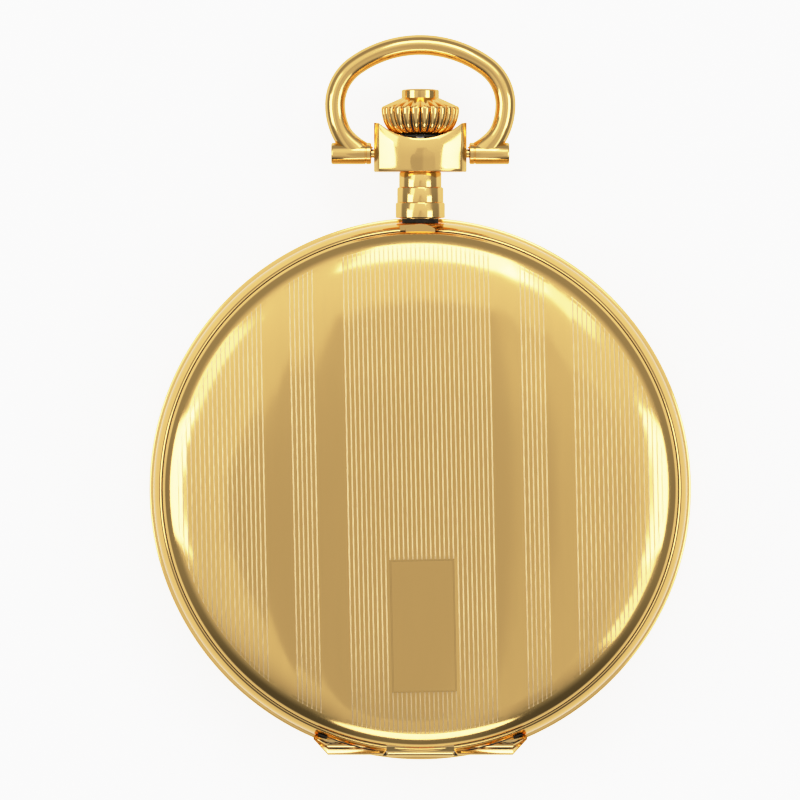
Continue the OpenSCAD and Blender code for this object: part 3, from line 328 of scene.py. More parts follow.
def row_y(x, t):
    """Place of a row along a column: straight near the middle, drawn in towards the lid's edge."""
    side = math.sqrt(max(0.0, REACH * REACH - x * x))
    power = max(1.0, min(10.0, 10 - 9 * (abs(x) - 8) / 7)) if abs(x) > 8 else 10.0
    return math.copysign(abs(t) * REACH - (REACH - side) * abs(t) ** power, t)


def in_cartouche(x, y):
    """Whether a place on the lid lies in the plain panel that the lines stop at."""
    return abs(x) < CARTOUCHE_W / 2 + 0.02 and abs(y - CARTOUCHE_Y) < CARTOUCHE_H / 2 + 0.02


def lid_face(bm):
    """The engine-turned face of the lid, as a net of vertices on the dome."""
    turn = Matrix.Rotation(PATTERN_TURN, 2)
    steps = [-1 + 2 * j / ROWS for j in range(ROWS + 1)]
    for edge in (CARTOUCHE_Y - CARTOUCHE_H / 2, CARTOUCHE_Y + CARTOUCHE_H / 2):
        near = min(range(len(steps)), key=lambda j: abs(steps[j] - edge / REACH))
        steps[near] = edge / REACH
    made = columns()
    net = []
    for x, level, number in made:
        line = []
        for y in (row_y(x, t) for t in steps):
            wave = math.sin(math.tau * y / SWAY_LENGTH + math.pi * number)
            sway = SWAY * wave if level or number else 0
            px = x + sway * (1 if level == 0 and number else 0.5)
            r = math.hypot(px, y)
            fade = max(0.0, min(1.0, (LINES_R - r) / 0.3))
            drop = 0.0 if in_cartouche(x, y) else DEPTH * level * fade
            p = turn @ Vector((px, y))
            line.append(bm.verts.new((p.x * MM, p.y * MM, (dome_z(r) - drop) * MM)))
        net.append(line)
    cut = bm.faces.layers.int.new("bright_cut")
    for k in range(len(made) - 1):
        x = made[k][0]
        narrow = made[k + 1][0] - x < 0.12 * PITCH
        for j in range(ROWS):
            face = bm.faces.new((net[k][j], net[k + 1][j], net[k + 1][j + 1], net[k][j + 1]))
            middle_y = row_y(x, (steps[j] + steps[j + 1]) / 2)
            face[cut] = narrow and not in_cartouche(x, middle_y)
    for line, column in zip(net, made):
        if column[1]:
            for low, high in zip(line, line[1:]):
                bm.edges.get((low, high)).smooth = False


bm = bmesh.new()
lid_face(bm)
print("engine-turned net", len(bm.verts), "vertices")

# %% [markdown]
# Round the lines the lid has a plain polished shoulder, an upright rim, a snap lip under it, and a
# plain inner face. They are one turned form, joined to the net as one piece of metal. The thumb
# lip at the top is where a nail lifts the lid.

# %% Lid shell
LIP_R, LIP_HALF, LIP_T, LIP_TURN = 2.2, 1.35, 0.45, 38
shell = [(r, z - 0.004) for r, z in dome_points(LID_R, LID_RISE, RIM_Z, LINES_R - 0.25, 30)]
shell = shell[::-1] + [(LID_R, LID_Z0 + 0.12), (LID_R - 0.04, LID_Z0 + 0.03), (LID_R - 0.12, LID_Z0),
                       (SEAT_R + 0.25, LID_Z0), (SEAT_R + 0.25, RIM_Z - 0.1)]
shell += dome_points(LID_R - LID_WALL, LID_RISE - LID_WALL, RIM_Z, 0.0, 20)
ring = bmesh.new()
turned(ring, shell, 256)
join_part(bm, ring)
lip = bmesh.new()
for i in range(13):
    a = math.radians(90 - LIP_TURN + 2 * LIP_TURN * i / 12)
    lip.verts.new((LIP_R * math.cos(a) * MM, (LID_R - 1.5 + LIP_R * math.sin(a)) * MM, LID_Z0 * MM))
for side in (-1, 1):
    lip.verts.new((side * LIP_HALF * MM, (LID_R - 0.4) * MM, LID_Z0 * MM))
lip.faces.new(lip.verts)
grown = bmesh.ops.extrude_face_region(lip, geom=lip.faces[:])["geom"]
raised = [g for g in grown if isinstance(g, bmesh.types.BMVert)]
bmesh.ops.translate(lip, vec=(0, 0, LIP_T * MM), verts=raised)
bmesh.ops.recalc_face_normals(lip, faces=lip.faces)
join_part(bm, lip)
lid = finish_mesh(bm, "front_lid_skin", sharp=40, even=False)
place(lid, "lid", lid_gold, "lid_gold", "front_lid")
mesh = lid.data
mesh.materials.append(cut_gold)
for face, mark in zip(mesh.polygons, mesh.attributes["bright_cut"].data):
    face.material_index = mark.value

# %% [markdown]
# The cartouche is the blank frame that would take an owner's initials. It is left smooth, and a
# fine groove with a raised edge runs round it.

# %% Cartouche border
bm = bmesh.new()
turn = Matrix.Rotation(PATTERN_TURN, 2)


def on_dome(x, y, up):
    """A point on the lid at pattern coordinates, raised by a height."""
    p = turn @ Vector((x, y))
    return (p.x * MM, p.y * MM, (dome_z(math.hypot(x, y)) + up) * MM)


half_w, half_h = CARTOUCHE_W / 2, CARTOUCHE_H / 2
profile = ((0.0, -0.02), (0.05, 0.018), (0.13, 0.018), (0.18, -0.02))
loops = []
for inset, up in profile:
    w, h = half_w - inset, half_h - inset
    corners = [(-w, -h), (w, -h), (w, h), (-w, h)]
    loop = []
    for (x0, y0), (x1, y1) in zip(corners, corners[1:] + corners[:1]):
        parts = 24 if abs(y1 - y0) > abs(x1 - x0) else 12
        for j in range(parts):
            x, y = x0 + (x1 - x0) * j / parts, CARTOUCHE_Y + y0 + (y1 - y0) * j / parts
            loop.append(bm.verts.new(on_dome(x, y, up)))
    loops.append(loop)
for inner, outer in zip(loops[1:], loops):
    count = len(outer)
    for j in range(count):
        bm.faces.new((outer[j], outer[(j + 1) % count], inner[(j + 1) % count], inner[j]))
border = finish_mesh(bm, "cartouche_border", sharp=20)
place(border, "lid", gold, "lid_gold")

# %% [markdown]
# Pieces that aren't plain turned forms are made by lofting: a row of closed outlines, each with as
# many points as the next, is skinned over. A wire is the same thing with round outlines.


# %% Lofted forms
def loft(bm, loops, closed=True, caps=False):
    """Skins loops of points, given in millimetres. Each loop has as many points as the next."""
    rows = [[bm.verts.new(Vector(p) * MM) for p in loop] for loop in loops]
    count = len(rows[0])
    last = count if closed else count - 1
    for a, b in zip(rows, rows[1:]):
        for j in range(last):
            bm.faces.new((a[j], a[(j + 1) % count], b[(j + 1) % count], b[j]))
    if caps:
        bm.faces.new(rows[0][::-1])
        bm.faces.new(rows[-1])


def quarter(r0, z0, a, b, steps=12):
    """Points of a quarter of an ellipse, from its side to its top."""
    return [(r0 + a * math.cos(math.pi / 2 * i / steps), z0 + b * math.sin(math.pi / 2 * i / steps))
            for i in range(steps + 1)]


def bevelled(bm, angle, width, segments=2):
    """Rounds every edge that is sharper than an angle, as tumbling and polishing does."""
    edges = [e for e in bm.edges if len(e.link_faces) == 2 and e.calc_face_angle(0) > math.radians(angle)]
    bmesh.ops.bevel(bm, geom=edges, offset=width * MM, affect="EDGES", segments=segments, profile=0.5,
                    material=-1)


# %% [markdown]
# The case band is the ring that holds the movement. It is turned from a thick ring. At the top a
# slot is cut into its upper edge below the pendant, so that the lid's thumb lip has room.

# %% Case band
EDGE_R, MIDDLE_Z = LID_R + 0.12, BAND_Z0 + 2.4
SLOT_HALF, SLOT_Z, SLOT_R = 1.9, PENDANT_Z + NECK_STEPS[0] + 0.1, 24.2
SHELF_Z, BORE_R = 8.3, 21.9
SPIGOT_Z, SPIGOT_R = 2.6, 23.95
outer = [(BAND_R - 0.3, BAND_Z0), (BAND_R - 0.05, BAND_Z0 + 0.12), (BAND_R, BAND_Z0 + 0.4)]
outer += quarter(EDGE_R, MIDDLE_Z, BAND_R - EDGE_R, BAND_Z1 - MIDDLE_Z, 20)
inner = [(EDGE_R - 0.01, BAND_Z1 - 0.3), (LID_R - 0.1, BAND_Z1 - 0.3), (LID_R - 0.12, BAND_Z1),
         (SEAT_R + 0.08, BAND_Z1), (SEAT_R, BAND_Z1 - 0.08), (SEAT_R, SHELF_Z), (BORE_R, SHELF_Z),
         (BORE_R, SPIGOT_Z), (SPIGOT_R, SPIGOT_Z), (SPIGOT_R, BAND_Z0)]
slot_edge = math.asin(SLOT_HALF / SLOT_R)
angles = sorted([math.tau * i / 288 + math.pi / 2 for i in range(288)]
                + [math.pi / 2 + s * (slot_edge + d) for s in (-1, 1) for d in (-0.0006, 0.0006)])
loops = []
for a in angles:
    cut = abs(a - math.pi / 2) < slot_edge or abs(a - math.pi / 2 - math.tau) < slot_edge
    line = []
    for r, z in outer:
        if cut and z > SLOT_Z:
            part = (z - SLOT_Z) / (BAND_Z1 - SLOT_Z)
            z = SLOT_Z if part < 0.5 else SLOT_Z + (BAND_Z1 - SLOT_Z) * (2 * part - 1)
            r = r + (EDGE_R + 0.04 - r) * min(1, 2 * part)
        line.append((r * math.cos(a), r * math.sin(a), z))
    line += [(r * math.cos(a), r * math.sin(a), z) for r, z in inner]
    loops.append(line)
bm = bmesh.new()
loft(bm, loops + [loops[0]])
bmesh.ops.remove_doubles(bm, verts=bm.verts, dist=1e-8)
band = finish_mesh(bm, "case_band_skin", sharp=32)
place(band, "case", gold, "case_gold", "case_band")

# %% [markdown]
# The lid closes into a narrow groove on the band. The shade deep in that groove is painted: a flat
# near-black ring on the floor of the groove draws the thin black line that shows all round the shut lid.

# %% Painted shade in the groove
bm = bmesh.new()
turned(bm, [(LID_R - 0.09, BAND_Z1 - 0.22), (LID_R + 0.1, BAND_Z1 - 0.22), (LID_R + 0.1, BAND_Z1 - 0.27),
            (LID_R - 0.09, BAND_Z1 - 0.27)], 256, closed=True)
seam_shade_ring = finish_mesh(bm, "seam_painted_shade")
place(seam_shade_ring, "case", painted_shade, "case_gold")

# %% [markdown]
# The back cover is a shallow pan. Its rolled edge ends in the rear ring, the thin bright rim that
# shows outside the band when the watch is seen from the front.

# %% Back cover
FLAT_R, COVER_T, ROLL_Z, ROLL_IN_R = 17, 0.55, BACK_TOP - 1.2, REAR_R - 1
outline = [(0, 0)] + [(FLAT_R * i / 10, 0) for i in range(1, 10)]
outline += quarter(FLAT_R, ROLL_Z, REAR_R - FLAT_R, -ROLL_Z, 20)[::-1]
outline += [(REAR_R, BACK_TOP - 0.2), (REAR_R - 0.06, BACK_TOP - 0.06), (REAR_R - 0.2, BACK_TOP),
            (ROLL_IN_R, BACK_TOP), (ROLL_IN_R, ROLL_Z)]
outline += quarter(FLAT_R, ROLL_Z, ROLL_IN_R - FLAT_R, COVER_T - ROLL_Z, 12)[1:]
outline += [(0, COVER_T)]
bm = bmesh.new()
turned(bm, outline, 256)
back = finish_mesh(bm, "back_cover_skin", sharp=40)
place(back, "case", gold, "case_gold", "back_cover")

# %% [markdown]
# The pendant's neck is a tube turned in three steps. Each step has its own small bevel at the top.

# %% Pendant neck
NECK_BORE, NECK_Y0, UNDERCUT_R = 1.3, 23.05, 1.64
STEP_Y0, STEP_H = 25.0, 1.4
outline = [(NECK_BORE, NECK_Y0), (1.9, NECK_Y0), (1.9, 24.4), (UNDERCUT_R, 24.47), (UNDERCUT_R, 24.9),
           (2.0, 24.96), (2.22, 24.98)]
for k, r in enumerate(NECK_STEPS):
    y = STEP_Y0 + STEP_H * k
    top = y + STEP_H
    outline += [(r, y), (r, top - 0.16), (r - 0.04, top - 0.06), (r - 0.14, top)]
outline += [(NECK_BORE, HEAD_Y0)]
bm = bmesh.new()
turned(bm, outline, 96, closed=True)
along_pendant(bm)
neck = finish_mesh(bm, "pendant_neck_skin", sharp=30)
place(neck, "case", gold, "case_gold", "pendant_neck")

# %% [markdown]
# The neck is undercut where it meets the band, and the crown stands clear of the head. The shade
# deep in both gaps is painted: a near-black ring sits in each.

# %% Dark rings under neck and crown
bm = bmesh.new()
turned(bm, [(1.6, 24.5), (1.67, 24.5), (1.67, 24.88), (1.6, 24.88)], 64, closed=True)
turned(bm, [(1.0, 32.42), (2.3, 32.42), (2.3, 32.58), (1.0, 32.58)], 64, closed=True)
along_pendant(bm)
rings = finish_mesh(bm, "pendant_painted_shade")
place(rings, "case", painted_shade, "case_gold")

# %% [markdown]
# The pendant's head is a block with a saddle cut into its top, in which the crown sits. Its front
# and back are gently full, and its upright edges are bevelled.

# %% Pendant head
SADDLE_HALF, SADDLE_DIP = HEAD_HALF - 0.36, 1.49
SADDLE_R = (SADDLE_HALF ** 2 + SADDLE_DIP ** 2) / (2 * SADDLE_DIP)
HEAD_DEPTH, FLANK_W = 2.9, 0.45


def saddle_y(x):
    """Height of the head's top at a distance from its middle."""
    if abs(x) >= SADDLE_HALF:
        return HEAD_Y1
    return HEAD_Y1 - SADDLE_DIP + SADDLE_R - math.sqrt(SADDLE_R ** 2 - x * x)


def head_depth(x, part):
    """Half depth of the head. part runs from its foot, 0, to its top, 1."""
    flank = min(1.0, abs(x) / (HEAD_HALF - FLANK_W))
    full = HEAD_DEPTH - 1.1 * flank ** 2 - 0.16 * (2 * part - 1) ** 2
    if abs(x) > HEAD_HALF - FLANK_W:
        full -= (abs(x) - HEAD_HALF + FLANK_W) * 1.4
    return full


sides = [HEAD_HALF - FLANK_W - 0.01, HEAD_HALF - FLANK_W + 0.01, HEAD_HALF]
xs = [-x for x in sides] + sides
xs = sorted(xs + [SADDLE_HALF * 0.96 * math.sin(math.pi / 2 * i / 14) for i in range(-14, 15)])
loops = []
for x in xs:
    top = saddle_y(x)
    ys = [HEAD_Y0 + (top - HEAD_Y0) * j / 12 for j in range(13)]
    front = [(x, y, PENDANT_Z + head_depth(x, j / 12)) for j, y in enumerate(ys)]
    over = [(x, top, PENDANT_Z + head_depth(x, 1) * k / 4) for k in (2, 0, -2)]
    rear = [(x, y, PENDANT_Z - head_depth(x, 1 - j / 12)) for j, y in enumerate(ys[::-1])]
    under = [(x, HEAD_Y0, PENDANT_Z + head_depth(x, 0) * k / 4) for k in (-2, 0, 2)]
    loops.append(front + over + rear + under)
bm = bmesh.new()
loft(bm, loops, caps=True)
bmesh.ops.recalc_face_normals(bm, faces=bm.faces)
bevelled(bm, 38, 0.09, 3)
head = finish_mesh(bm, "pendant_head_skin", sharp=24)
place(head, "case", gold, "case_gold", "pendant_head")

# %% [markdown]
# The bow is one round wire, bent over a former. Its ends are brazed to two short barrels that turn
# on screws in the pendant's head. The wire grows a little where it meets the barrels.

# %% Bow
WIRE_R, TOP_R, SIDE_R, LEG_R = 0.93, 10.36, 4.4, 6.0
BOW_HALF, BOW_RISE = 7.85, 4.5
SIDE_X = BOW_HALF - SIDE_R
TOP_Y = BOW_RISE - math.sqrt((TOP_R - SIDE_R) ** 2 - SIDE_X ** 2)
SIDE_TURN = math.acos(SIDE_X / (TOP_R - SIDE_R))
LEG_TURN = math.radians(50)
FOOT_X, FOOT_R, FOOT_LEN = 4.51, 1.0, 3.7


def arc(radius, cx, cy, start, end, steps):
    """Points of an arc with their outward direction."""
    out = []
    for i in range(steps):
        a = start + (end - start) * i / steps
        out.append((cx + radius * math.cos(a), cy + radius * math.sin(a), math.cos(a), math.sin(a)))
    return out


half = arc(LEG_R, BOW_HALF - LEG_R, BOW_RISE, -LEG_TURN, 0, 16)
half += arc(SIDE_R, SIDE_X, BOW_RISE, 0, SIDE_TURN, 24)
half += arc(TOP_R, 0, TOP_Y, SIDE_TURN, math.pi / 2, 24)
half.append((0, TOP_Y + TOP_R, 0, 1))
route = half + [(-x, y, -u, v) for x, y, u, v in half[-2::-1]]
loops = []
for x, y, u, v in route:
    loop = []
    for a in (math.tau * j / 32 for j in range(32)):
        px, py = x + WIRE_R * math.cos(a) * u, y + WIRE_R * math.cos(a) * v
        flare = max(0.0, min(1.0, (2.6 - py) / 1.6)) ** 2 * max(0.0, -math.cos(a))
        loop.append((px - math.copysign(0.8 * flare, x), PIVOT_Y + py - 0.1 * flare,
                     PENDANT_Z + WIRE_R * math.sin(a)))
    loops.append(loop)
bm = bmesh.new()
loft(bm, loops, caps=True)
barrel = [(0.42, 0), (FOOT_R - 0.12, 0), (FOOT_R, 0.1), (FOOT_R, 0.42), (FOOT_R - 0.05, 0.47),
          (FOOT_R - 0.05, 0.55), (FOOT_R, 0.6), (FOOT_R, FOOT_LEN - 0.15),
          (FOOT_R - 0.05, FOOT_LEN - 0.05), (FOOT_R - 0.15, FOOT_LEN), (0.62, FOOT_LEN),
          (0.55, FOOT_LEN - 0.12), (0.42, FOOT_LEN - 0.14)]
for side in (-1, 1):
    part = bmesh.new()
    turned(part, barrel, 64, closed=True)
    along_x(part, side * FOOT_X, PIVOT_Y, PENDANT_Z, side)
    join_part(bm, part)
bow = finish_mesh(bm, "bow_skin", sharp=35)
place(bow, "bow", gold, "case_gold", "bow")

# %% [markdown]
# The crown is turned to a low bulb and then fluted, so that finger and thumb can wind with it. The
# flutes run out on the cone round the button, which gives the bulb its scalloped edge.

# %% Crown
FLUTES, WELL_R, WELL_DEPTH = 24, 1.74, 1.85
CROWN_BORE, BULB_FOOT_R = 0.99, 2.35
outline = [(CROWN_BORE, CROWN_Y0), (2.0, CROWN_Y0), (BULB_FOOT_R, CROWN_Y0 + 0.12)]
outline += [(BULB_FOOT_R + (CROWN_R - BULB_FOOT_R) * math.sin(math.pi / 2 * i / 12) ** 0.9,
             CROWN_Y0 + 0.12 + (CROWN_Y1 - 0.35 - CROWN_Y0) * (1 - math.cos(math.pi / 2 * i / 12)) ** 0.8)
            for i in range(1, 13)]
outline += [(CROWN_R, CROWN_Y1 - 0.12), (CROWN_R - 0.03, CROWN_Y1 - 0.02),
            (CROWN_R - 0.1, CROWN_Y1 + 0.06)]
outline += [(CROWN_R - 0.1 - (CROWN_R - 0.2 - WELL_R) * i / 8, CROWN_Y1 + 0.06 + 0.76 * i / 8)
            for i in range(1, 9)]
outline += [(WELL_R + 0.04, CROWN_Y2), (WELL_R, CROWN_Y2 - 0.05), (WELL_R, CROWN_Y2 - WELL_DEPTH),
            (CROWN_BORE, CROWN_Y2 - WELL_DEPTH)]


def fluted(r, y, u):
    """Radius and height of the crown at a place across one flute. u runs from -1 to 1 over a petal."""
    if r <= WELL_R + 0.02 or y < CROWN_Y0 + 0.02:
        return r, y
    if y > CROWN_Y1 + 0.04:
        part = (y - CROWN_Y1) / (CROWN_Y2 - CROWN_Y1)
        return r - 0.06 * (1 - part) * abs(u), y - 0.16 * (1 - part) * abs(u)
    rise = (y - CROWN_Y0) / (CROWN_Y1 - CROWN_Y0)
    width = 0.58 + 0.34 * rise
    bulge = 0.2 * (1 - math.sqrt(max(0.0, 1 - (min(abs(u), width) / width) ** 2)))
    gap = 0.3 * max(0.0, (abs(u) - width) / (1 - width))
    return r - (bulge + gap) * min(1.0, 8 * rise), y


loops = []
for r, y in outline:
    loop = []
    for j in range(FLUTES * 12):
        used, height = fluted(r, y, 2 * ((j % 12) / 12) - 1)
        a = math.tau * j / (FLUTES * 12)
        loop.append((used * math.cos(a), height, PENDANT_Z + used * math.sin(a)))
    loops.append(loop)
bm = bmesh.new()
loft(bm, loops)
crown = finish_mesh(bm, "crown_skin", sharp=38)
place(crown, "crown", gold, "case_gold", "crown")
# Painted shade: a near-black turned core just inside the fluted bulb shows as dark gaps between the
# flutes.
bm = bmesh.new()
core = [(r - 0.31, y) for r, y in outline[3:14] if y < CROWN_Y1 - 0.4]
turned(bm, [(1.8, CROWN_Y0 + 0.02)] + core + [(1.8, core[-1][1])], 96, closed=True)
along_pendant(bm)
hollow = finish_mesh(bm, "crown_flute_painted_shade")
place(hollow, "crown", painted_shade, "case_gold")

# %% [markdown]
# The push button in the crown opens the lid. Its cap is a turned cup with a slightly domed top. A
# thin rod runs from it down through the stem, and a cross pin at the rod's foot pushes the catch.

# %% Release button
BUTTON_R, BUTTON_TOP, CUP_R = 1.72, CROWN_Y2 + 0.87, 1.35
CUP_FOOT = BUTTON_TOP - 2.02
outline = [(0, BUTTON_TOP - 0.5), (CUP_R, BUTTON_TOP - 0.5), (CUP_R, CUP_FOOT), (CUP_R + 0.05, CUP_FOOT),
           (BUTTON_R - 0.06, CUP_FOOT), (BUTTON_R, CUP_FOOT + 0.12), (BUTTON_R, BUTTON_TOP - 0.2),
           (BUTTON_R - 0.05, BUTTON_TOP - 0.13), (BUTTON_R - 0.15, BUTTON_TOP - 0.09)]
outline += [(r, BUTTON_TOP - 0.08 * (r / (BUTTON_R - 0.15)) ** 2) for r in (1.3, 1.0, 0.7, 0.4, 0)]
bm = bmesh.new()
turned(bm, outline, 96)
ROD_FOOT, ROD_TOP, ROD_R = 21.02, BUTTON_TOP - 0.45, 0.4
turned(bm, [(0, ROD_FOOT), (ROD_R - 0.06, ROD_FOOT), (ROD_R, ROD_FOOT + 0.06), (ROD_R, ROD_TOP),
            (0, ROD_TOP)], 32)
along_pendant(bm)
PIN_Y, PIN_LEN, PIN_R = 21.3, 3.5, 0.18
pin = bmesh.new()
turned(pin, [(0, 0), (PIN_R - 0.05, 0), (PIN_R, 0.05), (PIN_R, PIN_LEN - 0.05), (PIN_R - 0.05, PIN_LEN),
             (0, PIN_LEN)], 24)
along_x(pin, -PIN_LEN / 2, PIN_Y, PENDANT_Z)
join_part(bm, pin)
button = finish_mesh(bm, "release_button_skin", sharp=30)
place(button, "button", gold, "case_gold", "release_button")

# %% [markdown]
# The hinge bar is soldered to the band. Its upper face is hollowed behind a raised polished edge,
# and its two ends are cut back as wings. Between the wings a gap takes the lid's own knuckle. The
# shade in the gap, in the hollow and at the wings' ends is painted with near-black pieces.

# %% Hinge bar
BAR_OUT_Y, BAR_IN_Y, BAR_W = -24.42, -22.6, 1.82
WING_X, WING_RUN, WING_BACK = 8.5, 1.35, 1.47
BAR_FOOT_Z, BED_Z, BED_HALF = 7.0, 7.5, 3.14


def bar_edge(x):
    """Place of the bar's outer edge at a distance from the middle, and how wide the bar is there."""
    out_y = BAR_OUT_Y + max(0.0, abs(x) - WING_X) / WING_RUN * WING_BACK
    return out_y, (BAR_IN_Y - out_y) / BAR_W


def bar_section(x, low):
    """Outline of the bar across its length, as points of one loop."""
    out_y, scale = bar_edge(x)
    if not low:
        out_y += max(0.0, 3.4 - abs(x))
    steps = ((0.0, 9.0), (0.03, 9.12), (0.08, 9.18), (0.13, 9.18), (0.17, 9.15), (0.52, 9.06),
             (0.58, 8.92), (0.66, 8.9), (0.72, 9.06), (0.8, 9.1), (0.94, 9.08), (1.02, 8.88),
             (1.16, 8.84), (1.4, 8.9), (1.82, 8.6))
    if low:
        steps = tuple((d, min(z, BED_Z)) for d, z in steps)
    top = [(x, out_y + d * scale, z) for d, z in steps]
    return top + [(x, BAR_IN_Y, BAR_FOOT_Z), (x, out_y + 0.12 * scale, BAR_FOOT_Z),
                  (x, out_y, BAR_FOOT_Z + 0.1)]


bm = bmesh.new()
for side in (-1, 1):
    places = [BED_HALF + 0.01] + [3.4 + 5.0 * i / 12 for i in range(13)]
    places += [WING_X, 8.62, 9.0, 9.4, 9.7, 9.82]
    loft(bm, [bar_section(side * x, False) for x in places], caps=True)
loft(bm, [bar_section(x, True) for x in (-BED_HALF, -1, 1, BED_HALF)], caps=True)
bar = finish_mesh(bm, "hinge_bar_skin", sharp=28)
place(bar, "case", hinge_gold, "case_gold", "hinge_bar")

# Painted shade: near-black blocks in the gaps beside the knuckle, thin strips in the bar's hollow and
# along its seam with the band, and flat spots at the wings' ends.
SEAM_R, SEAM_Z = 24.3, 9.2
DROP_X, DROP_Y, DROP_Z, DROP_TURN = 9.0, -22.66, 8.75, 0.38
bm = bmesh.new()
for side in (-1, 1):
    loft(bm, [[(side * x, y, z) for y, z in ((-24.5, 8.2), (-24.5, 8.9), (-24.1, 8.9), (-24.1, 8.2))]
              for x in (3.13, 3.42)], caps=True)
    for part, first, last, z in ((0.62, 6.2, 8.8, 8.94), (1.09, 7.1, 9.5, 8.9)):
        line = []
        for i in range(9):
            x = first + (last - first) * i / 8
            out_y, scale = bar_edge(x)
            half = 0.05 * math.sin(math.pi * (i + 0.6) / 9.2)
            line.append([(side * x, out_y + part * scale + d, z) for d in (-half, half)])
        loft(bm, line, closed=False)
    line = []
    for i in range(13):
        x = 3.7 + 5.5 * i / 12
        near = -math.sqrt(SEAM_R ** 2 - x * x)
        width = 0.13 * math.sin(math.pi * (i + 1) / 14)
        line.append([(side * x, near, SEAM_Z), (side * x, near - width, SEAM_Z - 0.01)])
    loft(bm, line, closed=False)
    drop = (Matrix.Translation((side * DROP_X * MM, DROP_Y * MM, DROP_Z * MM))
            @ Matrix.Rotation(side * DROP_TURN, 4, "Z") @ Matrix.Diagonal((0.5, 0.09, 0.3, 1)))
    bmesh.ops.create_uvsphere(bm, u_segments=24, v_segments=12, radius=MM, matrix=drop)
hinge_shade = finish_mesh(bm, "hinge_painted_shade", smooth=False)
place(hinge_shade, "case", painted_shade, "case_gold")

# %% [markdown]
# The lid's knuckle turns with the lid on the hinge pin, between the bar's two wings. An arm joins it
# to the lid.

# %% Lid knuckle
KNUCKLE_R, KNUCKLE_HALF, KNUCKLE_BORE, EASE = 0.6, 3.1, 0.27, 0.14
end = 2 * KNUCKLE_HALF
bm = bmesh.new()
turned(bm, [(KNUCKLE_BORE, 0), (KNUCKLE_R - EASE, 0), (KNUCKLE_R, EASE), (KNUCKLE_R, end - EASE),
            (KNUCKLE_R - EASE, end), (KNUCKLE_BORE, end)], 64, closed=True)
along_x(bm, -KNUCKLE_HALF, HINGE_Y, HINGE_Z)
arm = [(-0.35, 0.3), (-0.1, 0.72), (0.34, 1.05), (0.95, 1.05), (0.5, 0.2), (0.3, 0.4)]
places = (-KNUCKLE_HALF, -1, 1, KNUCKLE_HALF)
loft(bm, [[(x, HINGE_Y + y, HINGE_Z + z) for y, z in arm] for x in places], caps=True)
knuckle = finish_mesh(bm, "lid_knuckle_skin", sharp=30)
place(knuckle, "lid", hinge_gold, "lid_gold", "lid_knuckle")


# %% [markdown]
# The remaining pieces keep the construction model's own shape and get their real finish: enamel,
# glass, blued steel, gilt wheels and nickel bridges.

# %% Plain materials
def coated(name, colour, rough, speck=0.02):
    """A painted or fired coat with a faint unevenness."""
    return worn(name, colour, 0.94, (rough, rough + 0.12), (0.0, 1.0), 1200, speck)


def clear(name, colour, rough, ior):
    """Glass or stone that light passes through."""
    made = coated(name, colour, rough)
    set_inputs(made.node_tree.nodes["Principled BSDF"], {"Transmission Weight": 1, "IOR": ior})
    return made


enamel = coated("white_enamel", (0.95, 0.94, 0.90), 0.12)
black = coated("black_enamel", (0.015, 0.015, 0.018), 0.2)
rubber = coated("gasket_rubber", (0.03, 0.03, 0.03), 0.6, 0.2)
glass = clear("mineral_glass", (0.97, 0.99, 0.98), 0.0, 1.52)
ruby = clear("ruby", (0.75, 0.04, 0.14), 0.03, 1.77)
FINISHES = {"case_gold": gold, "lid_gold": lid_gold, "inner_gold": satin_gold, "brass": brass,
            "nickel": nickel, "steel": steel, "blued_steel": blue_steel, "hands": blue_steel,
            "dial": enamel, "numerals": black, "ruby": ruby, "crystal": glass, "gasket": rubber}

# %% [markdown]
# The dial's marks are fired on in black enamel, which stands a little proud of the white. There is a
# track of sixty minutes, a small one of sixty seconds, and plain upright numerals. Broad and thin
# strokes and small serifs are drawn as one would with a broad pen. Every mark is a thin slab.

# %% Dial marks
DIAL_TOP, MARK_T, SECONDS_Y = 8.25, 0.03, -9.5
NUMERAL_R, NUMERAL_H, SERIF = 16.0, 2.7, 0.14


def slab(bm, outline):
    """A thin raised mark on the dial with the given outline of (x, y) points."""
    low, high = ([bm.verts.new((x * MM, y * MM, z * MM)) for x, y in outline]
                 for z in (DIAL_TOP - 0.01, DIAL_TOP + MARK_T))
    bm.faces.new(high)
    for j in range(len(outline)):
        k = (j + 1) % len(outline)
        bm.faces.new((low[j], low[k], high[k], high[j]))


def turned_at(bm, outline, cy):
    """Spins a closed outline round an upright axis that stands at height cy on the dial."""
    part = bmesh.new()
    turned(part, outline, 180, closed=True)
    bmesh.ops.translate(part, vec=(0, cy * MM, 0), verts=part.verts)
    join_part(bm, part)


def track(bm, cy, inner, outer, width):
    """Two circles with sixty ticks between them. Each fifth tick is broader."""
    low, high = DIAL_TOP - 0.01, DIAL_TOP + MARK_T
    for r in (inner, outer):
        turned_at(bm, [(r - 0.04, low), (r - 0.04, high), (r + 0.04, high), (r + 0.04, low)], cy)
    for i in range(60):
        a = math.tau * i / 60
        half = width * (1.0 if i % 5 == 0 else 0.32)
        side = Vector((-math.sin(a), math.cos(a))) * half
        way = Vector((math.cos(a), math.sin(a)))
        corners = (way * inner - side, way * outer - side, way * outer + side, way * inner + side)
        slab(bm, [(c.x, c.y + cy) for c in corners])


def strokes(letter):
    """Strokes of a letter as (foot x, head x, half width), and its width."""
    if letter == "I":
        return [(0, 0, 0.26)], 0.84
    if letter == "V":
        return [(0.12, -0.5, 0.26), (0.12, 0.56, 0.09)], 1.74
    return [(0.55, -0.5, 0.26), (-0.55, 0.5, 0.09)], 1.74


def serif(x, half, low, high):
    """The short bar across the end of a stroke."""
    left, right = x - half - SERIF, x + half + SERIF
    return [(left, low), (right, low), (right, high), (left, high)]


